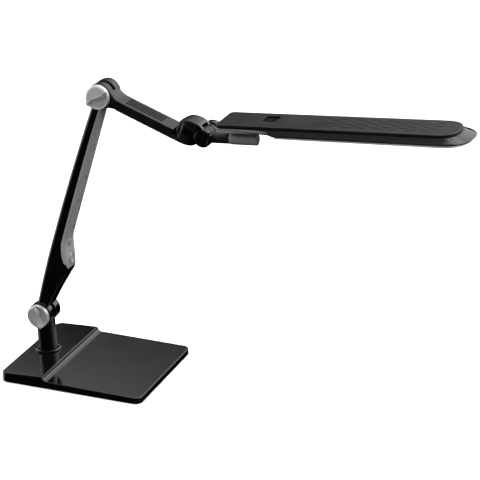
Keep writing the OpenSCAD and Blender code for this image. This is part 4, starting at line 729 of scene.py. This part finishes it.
# %% The two push buttons
power = soft_profile([(0, -4.5), (POWER_R + 1.1, -4.5), (POWER_R + 1.1, -2.1), (POWER_R, -1.9), (POWER_R, 1.3),
                      (POWER_R - 1.2, 1.3), (POWER_R - 1.5, 0.35), (POWER_R - 2.2, 0.35), (POWER_R - 2.5, 0.85),
                      (0, 0.7)], 0.35)
made(solid("power_key", [skin(at_face(POWER_AT, turned(power)))]), "power_key", "silver_paint",
     ["power_button"])
mode = soft_profile([(0, -3.6), (MODE_R + 1.1, -3.6), (MODE_R + 1.1, -2.1), (MODE_R, -1.9), (MODE_R, 1.4),
                     (MODE_R - 0.9, 1.4), (0, 1.0)], 0.5)
made(solid("mode_key", [skin(at_face(MODE_AT, turned(mode, 48)))]), "mode_key", "silver_paint",
     ["mode_button"])

# %% [markdown]
# ## The clamp knobs
#
# Each hinge is locked by a round silver knob. Its face is not flat: one half is a low dome that rises to an S-shaped
# rib, and beyond the rib the face drops into a scoop for the thumb, with a thin raised rim outside it. The rib ends
# in a foot that stands out of the disc. That is a height over the disc, given in polar rings, so the face, the rim
# and the back come from one formula and one skin.

# %% Height of a knob's face
KNOB_R, KNOB_BACK, KNOB_LOW, KNOB_RISE, NECK_H = 15.8, 13.8, 6.8, 2.6, 1.8
FACE_IN = 0.985                             # the face is this share of the disc, which leaves a soft rim


def smooth_step(a, b, v):
    """0 below a, 1 above b, and 3t squared minus 2t cubed between."""
    t = np.clip((v - a) / (b - a), 0, 1)
    return t * t * (3 - 2 * t)


def knob_face(x, y):
    """Left of the rib the face domes up to it; the rib is a crisp lip; right of it the face slopes down by some
    5 mm into a dish, and a thin rim stands outside the dish. The rib's line is an S: x = 1.5 sin(pi y / R)."""
    line = 1.5 * np.sin(np.pi * y / KNOB_R) - 0.12 * y
    off = x - line
    r = np.hypot(x, y) / KNOB_R
    dome = KNOB_LOW + KNOB_RISE * (1 - 0.95 * np.clip(-off / KNOB_R, 0, 1) ** 1.4)
    dish = KNOB_LOW - 3.0 + 1.2 * smooth_step(0.2, 0.9, r)
    width = 3.6 + 0.10 * (KNOB_R - y)
    slope = np.clip((off - 0.2) / width, 0, 1)
    face = dome + (dish - dome) * (0.75 * slope + 0.25 * smooth_step(0, 1, slope))
    lip = 0.5 * np.exp(-((off + 0.5) / 0.75) ** 2) * smooth_step(1.0, 0.8, r)
    outer = 3.1 * smooth_step(0.83, 0.90, r) * smooth_step(1.5, 6.0, off)
    return face + lip + outer - 1.6 * smooth_step(0.84, 1.0, r) * smooth_step(1.0, -2.0, off)


def knob(name, place, turn, body, node):
    """Rings from the neck round the back of the disc, over the rim, and in to the middle of the face."""
    t = np.linspace(0, 2 * np.pi, 144, endpoint=False)
    foot = 1 + 0.085 * np.exp(-((np.degrees(t) - 270) / 13) ** 2)
    inner = np.linspace(1, 0.012, 46) ** 0.9
    r_face = KNOB_R * inner[:, None] * (1 + (foot - 1)[None] * smooth_step(0.5, 1, inner)[:, None])
    x, y = r_face * np.cos(t), r_face * np.sin(t)
    z_foot = 1.6 * ((foot - 1) / 0.085) * smooth_step(0.62, 0.95, inner)[:, None]
    z_face = knob_face(x * FACE_IN, y * FACE_IN) + z_foot
    rim = z_face[0]
    side_r = np.array([5.3, KNOB_R - 2.6, KNOB_R - 2.6, KNOB_R - 2.4, KNOB_R - 0.5, KNOB_R - 0.1, KNOB_R, KNOB_R])
    side_z = np.array([0, 0, NECK_H - 0.2, NECK_H, NECK_H, NECK_H + 0.3, NECK_H + 0.8, 0])
    r_side = side_r[:, None] * np.where(side_r[:, None] > KNOB_R - 1, foot, 1)
    x_side, y_side = r_side * np.cos(t), r_side * np.sin(t)
    z_side = np.repeat(side_z[:, None], len(t), 1)
    z_side[-1] = rim - 0.7
    z_face[0] = rim - 0.12
    x, y = np.concatenate([x_side, x * FACE_IN]), np.concatenate([y_side, y * FACE_IN])
    z = np.concatenate([z_side, z_face]) + KNOB_BACK
    a = np.radians(turn)
    rings = np.stack([x * np.cos(a) - y * np.sin(a), x * np.sin(a) + y * np.cos(a), z], -1)
    # The knob's finish carries painted light: a silver lighter than the panel's, in place of highlights
    return made(solid(name, [skin(put(rings, place, "xzy"))]), body, "knob_silver_with_painted_light", [node], 50)


knob("hinge_knob", "lower_hinge", 12, "lower_clamp", "lower_knob")
knob("elbow_clamp_knob", "upper_arm", -38, "elbow_clamp", "elbow_knob")

# %% [markdown]
# ## The upper arm
#
# Seen from the side this arm is a drum at the elbow that runs out into a slim bar. The drum's circle and the bar's
# straight lines are joined by parabolas that leave the circle along its own tangent, so no crease shows in a
# reflection. The outline is pushed out sideways as a pillow, and a plan from above narrows it at the drum. Then the
# fork's slot, the hollow for the driver and the rows of cooling slots are cut.

# %% Side outline of the upper arm
DRUM_R, NECK_END, TOP_END, BAR_TOP, BAR_UNDER = 16.2, 27.0, 105.3, 5.5, 6.7


def neck(s0, level):
    """From the drum's circle at s0, a parabola that reaches level with no slope at the neck's end."""
    s = np.linspace(s0, NECK_END, 14)
    z0 = np.sqrt(DRUM_R ** 2 - s0 ** 2)
    return np.stack([s, level + (z0 - level) * ((NECK_END - s) / (NECK_END - s0)) ** 2], -1)


upper_neck, lower_neck = neck(10.4, BAR_TOP), neck(9.6, BAR_UNDER) * [1, -1]
arc_t = np.linspace(np.arctan2(upper_neck[0, 1], 10.4), 2 * np.pi + np.arctan2(lower_neck[0, 1], 9.6), 80)[1:-1]
along = np.linspace(NECK_END, TOP_END, 24)[1:]
end_cap = np.stack([np.full(5, TOP_END), np.linspace(-BAR_UNDER, BAR_TOP, 7)[1:-1]], -1)
upper_outline = np.concatenate([
    DRUM_R * np.stack([np.cos(arc_t), np.sin(arc_t)], -1), lower_neck,
    np.stack([along, np.full(23, -BAR_UNDER)], -1), end_cap,
    np.stack([along[::-1], np.full(23, BAR_TOP)], -1), upper_neck[::-1]])
shoulder_x = np.linspace(15, 24, 12)
shoulder_y = HALF + (ARM_HALF - HALF) * smooth_step(15, 24, shoulder_x)
half_plan = np.concatenate([[(-30, HALF)], np.stack([shoulder_x, shoulder_y], -1), [(130, ARM_HALF)]])
arm_plan = np.concatenate([half_plan * [1, -1], half_plan[::-1]])

upper = solid("upper_arm_shell", [plate(upper_outline, -ARM_HALF, ARM_HALF, 1.5, 1.5, "upper_arm", "xzy")])
shaped(upper, plate(arm_plan, -40, 40, 0.1, 0.1, "upper_arm"), how="INTERSECT")
for x, y, z in (((-50, 11.9), (-SLOT, SLOT), (-40, 40)),
                ((NECK_END, 103.5), (-13.2, 13.2), (-5, 3.7)),
                ((NECK_END, 130), (-17, 17), (-12, -3.2))):
    shaped(upper, box_skin(x, y, z, "upper_arm"))
SLOTS_FROM, SLOTS_SIDE, SLOT_LONG, SLOT_WIDE = 34, -8.6, 3.6, 2.8
slots = [box_skin((x, x + SLOT_LONG), (y, y + SLOT_WIDE), (0, 12), "upper_arm")
         for y in SLOTS_SIDE + 4.8 * np.arange(4) for x in SLOTS_FROM + 4.1 * np.arange(13)]
shaped(upper, *slots)
shaped(upper, cheek(4.05, -20, 20, 0.1, "upper_arm"))
made(upper, "upper_arm", "black_satin", ["upper_arm_body"])

# %% Painted shade: a thin matt black plate under the slots, in this scene only, so that they look dark
slot_shade_sheet = solid("painted_slot_shade", [box_skin((30, 92), (-12.8, 12.8), (3.1, 3.6), "upper_arm")])
made(slot_shade_sheet, "upper_arm", "matt_black")

# %% [markdown]
# ## The wrist
#
# A knuckle swivels on the upper arm's tongue. From the side it is a hump that falls to two cheeks, from above its
# back is round, and a lid covers its top. The hump is a pillow of its side outline, of which only the overlap with
# that round plan is kept.

# %% Knuckle and lid
TILT_OUT, TILT_UP, TILT_R, KNUCKLE_R = 23.8, 11.5, 11.6, 14.0
hump_x = np.linspace(14.8, -13.2, 40)
hump_z = 26 - 2.4 * ((hump_x - 8) / 12) ** 2 - 3 * (np.clip(-4 - hump_x, 0, None) / 10) ** 2
side = np.concatenate([[(-14, 4.5), (15.4, 4.5), (23.8, 11.5), (22.2, 21.6)], np.stack([hump_x, hump_z], -1),
                       [(-14, 13.4)]])
radii = np.concatenate([[1.2, 1, 1, 3], np.full(len(hump_x), 0.3), [2.0]])
side = soft_outline(side, radii, 5)
back_t = np.radians(np.linspace(90, 270, 49))
knuckle_plan = np.concatenate([KNUCKLE_R * np.stack([np.cos(back_t), np.sin(back_t)], -1),
                               [(20, -KNUCKLE_R), (40, -KNUCKLE_R), (40, KNUCKLE_R), (20, KNUCKLE_R)]])


def knuckle_blank(name):
    """The whole knuckle: the hump with its two round cheeks, and the gap that the shaft turns in."""
    blank = solid(name, [plate(side, -KNUCKLE_R, KNUCKLE_R, 1.4, 1.4, "wrist", "xzy")])
    shaped(blank, plate(knuckle_plan, -10, 60, 0.1, 0.1, "wrist"), how="INTERSECT")
    eyes = pillow(disc(TILT_R), -KNUCKLE_R - 0.3, KNUCKLE_R + 0.3, 0.8, 0.8) + [TILT_OUT, TILT_UP, 0]
    shaped(blank, skin(put(eyes, "wrist", "xzy")), how="UNION")
    shaped(blank, box_skin((11.8, 60), (-8.3, 8.3), (-20, 23.2), "wrist"))
    return shaped(blank, box_skin((15.6, 60), (-8.3, 8.3), (20, 60), "wrist"))


knuckle = knuckle_blank("knuckle_body")
shaped(knuckle, box_skin((-50, 10.3), (-50, 50), (15.4, 80), "wrist"))
shaped(knuckle, skin(put(turned([(5.1, -5), (5.1, 14)], 40), "wrist")))
made(knuckle, "wrist", "black_gloss", ["knuckle"])
lid = knuckle_blank("knuckle_lid")
shaped(lid, box_skin((-50, 10.1), (-50, 50), (15.6, 80), "wrist"), how="INTERSECT")
made(lid, "wrist", "black_satin", ["knuckle_cap"])


# %% Caps of the tilt joint
def round_tilt_axle(profile):
    """A profile of radius and distance y, carried round the tilt axle."""
    rings = turned(profile, 96)
    return skin(placed(np.stack([TILT_OUT + rings[..., 0], rings[..., 2], TILT_UP + rings[..., 1]], -1), "wrist"))


near_cap = soft_profile([(0, -14.2), (10.2, -14.2), (10.2, -15.2), (9.3, -15.6), (8.3, -15.6), (8.0, -15.2),
                         (7.2, -15.2), (3, -15.5), (0, -15.5)], 0.3)
far_cap = soft_profile([(0, 14.35), (12.3, 14.35), (12.3, 15.5), (13.5, 15.5), (13.5, 25.2), (12.6, 27.0),
                        (4, 27.0), (0, 27.0)], 1.1)
made(solid("tilt_lids", [round_tilt_axle(near_cap), round_tilt_axle(far_cap)]), "wrist", "black_gloss",
     ["tilt_caps"])

# %% [markdown]
# ## Shaft, sleeve and bracket
#
# A black shaft turns on the tilt axle and carries a sleeve that the head rolls on. The sleeve hangs under an
# S-shaped plate of anodised metal, which bends down to the head's lower frame. The plate is a pillow of its side
# outline, the sleeve and the shaft are turned.

# %% Roll shaft
ROLL_Z = -2.2                               # the roll axis, from the head's origin


def along_roll(profile):
    """A profile of radius and distance x, carried round the roll axis."""
    rings = turned(profile)
    return skin(placed(np.stack([rings[..., 2], rings[..., 0], rings[..., 1] + ROLL_Z], -1), "head"))


shaft = solid("roll_axle", [cheek(11.3, -7.5, 7.5, 0.8, "head")])
shaped(shaft, along_roll(soft_profile([(0, 0), (6.8, 0), (6.8, 31.6), (5.0, 31.6), (5.0, 59.0),
                                                      (0, 59.0)], 0.5)), how="UNION")
shaped(shaft, cheek(3.55, -20, 20, 0.1, "head"))
made(shaft, "shaft", "dark_part", ["roll_shaft"])

# %% Bracket and sleeve
BEND_0, BEND_1, PLATE_TOP, PLATE_LOW, RIM_LOW, FRAME_LOW = 85.8, 101.8, 18.8, 13.4, 12.9, 9.9
bend_x = np.linspace(BEND_0, BEND_1, 20)
fall = 0.5 - 0.5 * np.cos(np.pi * (bend_x - BEND_0) / (BEND_1 - BEND_0))
top_bend = np.stack([bend_x, PLATE_TOP - (PLATE_TOP - RIM_LOW) * fall], -1)
low_bend = np.stack([bend_x, PLATE_LOW - (PLATE_LOW - FRAME_LOW) * fall], -1)
plate_side = np.concatenate([[(24.8, 13.4)], low_bend, top_bend[::-1], [(24.8, 18.8)]])
plate_side = soft_outline(plate_side, np.concatenate([[1.5], np.full(40, 0.2), [0.8]]), 5)
bracket = solid("head_plate", [plate(plate_side, -27.4, 27.4, 0.7, 0.7, "head", "xzy")])
sleeve = soft_profile([(0, 32), (7.5, 32), (7.5, 67.6), (7.0, 68.5), (6.4, 68.5), (6.4, 67), (0, 67)], 0.4)
shaped(bracket, along_roll(sleeve), how="UNION")
web = soft_outline([(36, 0), (65, 0), (65, 14.4), (36, 14.4)], 1)
shaped(bracket, plate(web, -4, 4, 0.3, 0.3, "head", "xzy"), how="UNION")
shaped(bracket, along_roll([(5.05, 20), (5.05, 58.5)]))
shaped(bracket, along_roll([(6.4, 58), (6.4, 80)]))
slant = [(-10, -20), (0, -20), (0, 20), (-10, 20)]
slant = np.stack([np.column_stack([slant, np.full(4, h)]) for h in (-30.0, 0.0)]) @ pitch(-12).T + [32, 0, ROLL_Z]
shaped(bracket, skin(put(slant, "head")))
shaped(bracket, box_skin((78.0, 94.2), (-2, 12), (16.8, 25), "head"))
made(bracket, "head", "silver_metal", ["head_bracket"])

# %% [markdown]
# ## The head
#
# The head is a long flat sandwich: a satin cover with staggered cooling slots and a well for the light switch, a
# glossy housing whose rim is wider than the cover, and a pale frame round the diffuser below. All three share one
# plan: a straight back, slightly tapered sides and a tip that is a superellipse of power 2.4. Stacking that plan at
# different sizes gives each of them.


# %% The plan they share
def head_plan(x0, x1, w0, w1, tip, corner):
    """Counterclockwise: the tip, x = x1 - tip + tip cos(a)^(2/2.4) and y = w1 sin(a)^(2/2.4), then the near-straight
    sides and the back with its rounded corners."""
    a = np.radians(np.linspace(-90, 90, 61))
    c, s = np.maximum(np.cos(a), 0), np.sin(a)
    nose = np.stack([x1 - tip + tip * c ** (2 / 2.4), np.sign(s) * w1 * np.abs(s) ** (2 / 2.4)], -1)
    corner = max(corner, 0.4)
    b = np.radians(np.linspace(0, 90, 9))
    left = np.stack([x0 + corner - corner * np.sin(b), w0 - corner + corner * np.cos(b)], -1)
    t = np.linspace(0, 1, 24)[1:-1, None]
    side_up = nose[-1] * (1 - t) + left[0] * t
    right = left[::-1] * [1, -1]
    back = left[-1] * (1 - t) + right[0] * t
    side_down = right[-1] * (1 - t) + nose[0] * t
    return np.concatenate([nose, side_up, left, back, right, side_down])


def at_height(plan, z):
    """A plan at one height, as a ring."""
    return np.column_stack([plan, np.full(len(plan), z)])


# %% Cover with its slots and the switch's well
head_cover = solid("cover_plate", [plate(head_plan(23.8, 326.5, 28.5, 30.8, 26, 6), 20.3, 23.8, 0.3, 1.3,
                                         "head")])
shaped(head_cover, plate(head_plan(25.3, 325, 27, 29.3, 24.5, 4.5), 18, 22.3, 0.2, 0.3, "head"))
well = soft_outline([(75.6, -7.5), (96.6, -7.5), (96.6, 17.5), (75.6, 17.5)], 1)
shaped(head_cover, plate(well, 20.2, 23.0, 0.1, 0.1, "head"), how="UNION")
opening = soft_outline([(77.1, -6), (95.1, -6), (95.1, 16), (77.1, 16)], 0.8)
shaped(head_cover, plate(opening, 21.2, 30, 0.1, 0.1, "head"))
shaped(head_cover, box_skin((84.3, 87.9), (0.6, 9.4), (16, 26), "head"))
dashes = [plate(soft_outline([(x, y - 0.65), (x + 10.5, y - 0.65), (x + 10.5, y + 0.65), (x, y + 0.65)], 0.45, 3),
                19, 30, 0.05, 0.05, "head", steps=1)
          for row in range(6) for y in [6.6 * (row - 2.5)] for x in 141.8 + 10 * (row % 2) + 20 * np.arange(8)]
shaped(head_cover, *dashes)
made(head_cover, "head", "black_satin", ["head_cover"])

# %% Painted shade: a matt black liner in the switch's well, in this scene only, so that the well looks dark
well_shade_liner = solid("painted_well_shade", [box_skin((77.15, 95.05), (-5.95, 15.95), (21.22, 23.3), "head")])
shaped(well_shade_liner, box_skin((77.4, 94.8), (-5.7, 15.7), (21.4, 30), "head"))
shaped(well_shade_liner, box_skin((84.2, 88.0), (0.5, 9.5), (16, 26), "head"))
made(well_shade_liner, "head", "matt_black")

# %% Housing: flange, sloping shoulder and upright rim
slab = [at_height(head_plan(79.8, 342.5 - d, 34.5 - d, 38.5 - d, 36 - d, 0), z)
        for d, z in ((1.0, 12.9), (0.6, 12.9), (0.2, 13.05), (0, 13.35), (0, 13.9), (0.15, 14.15), (0.5, 14.35))]
shoulder = [at_height(head_plan(79.8, 342.5 + (328 - 342.5) * t, 34.5 - 6.6 * t, 38.5 - 8.3 * t, 36 - 10 * t, 0),
                      14.35 + 5.85 * t ** 1.15) for t in np.linspace(0.08, 1, 9)]
housing = solid("housing_shell", [skin(put(np.stack(slab + shoulder), "head"))])
shaped(housing, plate(head_plan(24.4, 323.5, 27.9, 30.2, 26, 6), 18.9, 20.28, 0.2, 0.1, "head"), how="UNION")
behind = np.concatenate([[(0, -10), (102.4, -10)], top_bend[::-1] + [0.1, 0.1], [(0, 18.9)]])
shaped(housing, plate(behind, -60, 60, 0.01, 0.01, "head", "xzy", steps=1))
shaped(housing, box_skin((112.8, 321.5), (-27.5, 27.5), (10, 18.9), "head"))
shaped(housing, box_skin((75.5, 96.7), (-7.6, 17.6), (10, 25), "head"))
made(housing, "head", "black_gloss", ["head_housing"])

# %% Pale frame round the diffuser
frame_ring = solid("light_frame", [plate(head_plan(101.9, 339.5, 32.9, 36.9, 33, 0), 9.9, 12.85, 1.1, 0.2,
                                         "head")])
shaped(frame_ring, box_skin((115.8, 318.5), (-24.5, 24.5), (5, 20), "head"))
shaped(frame_ring, box_skin((113.8, 320.5), (-26.5, 26.5), (11.1, 20), "head"))
made(frame_ring, "head", "pale_trim", ["head_bezel"])
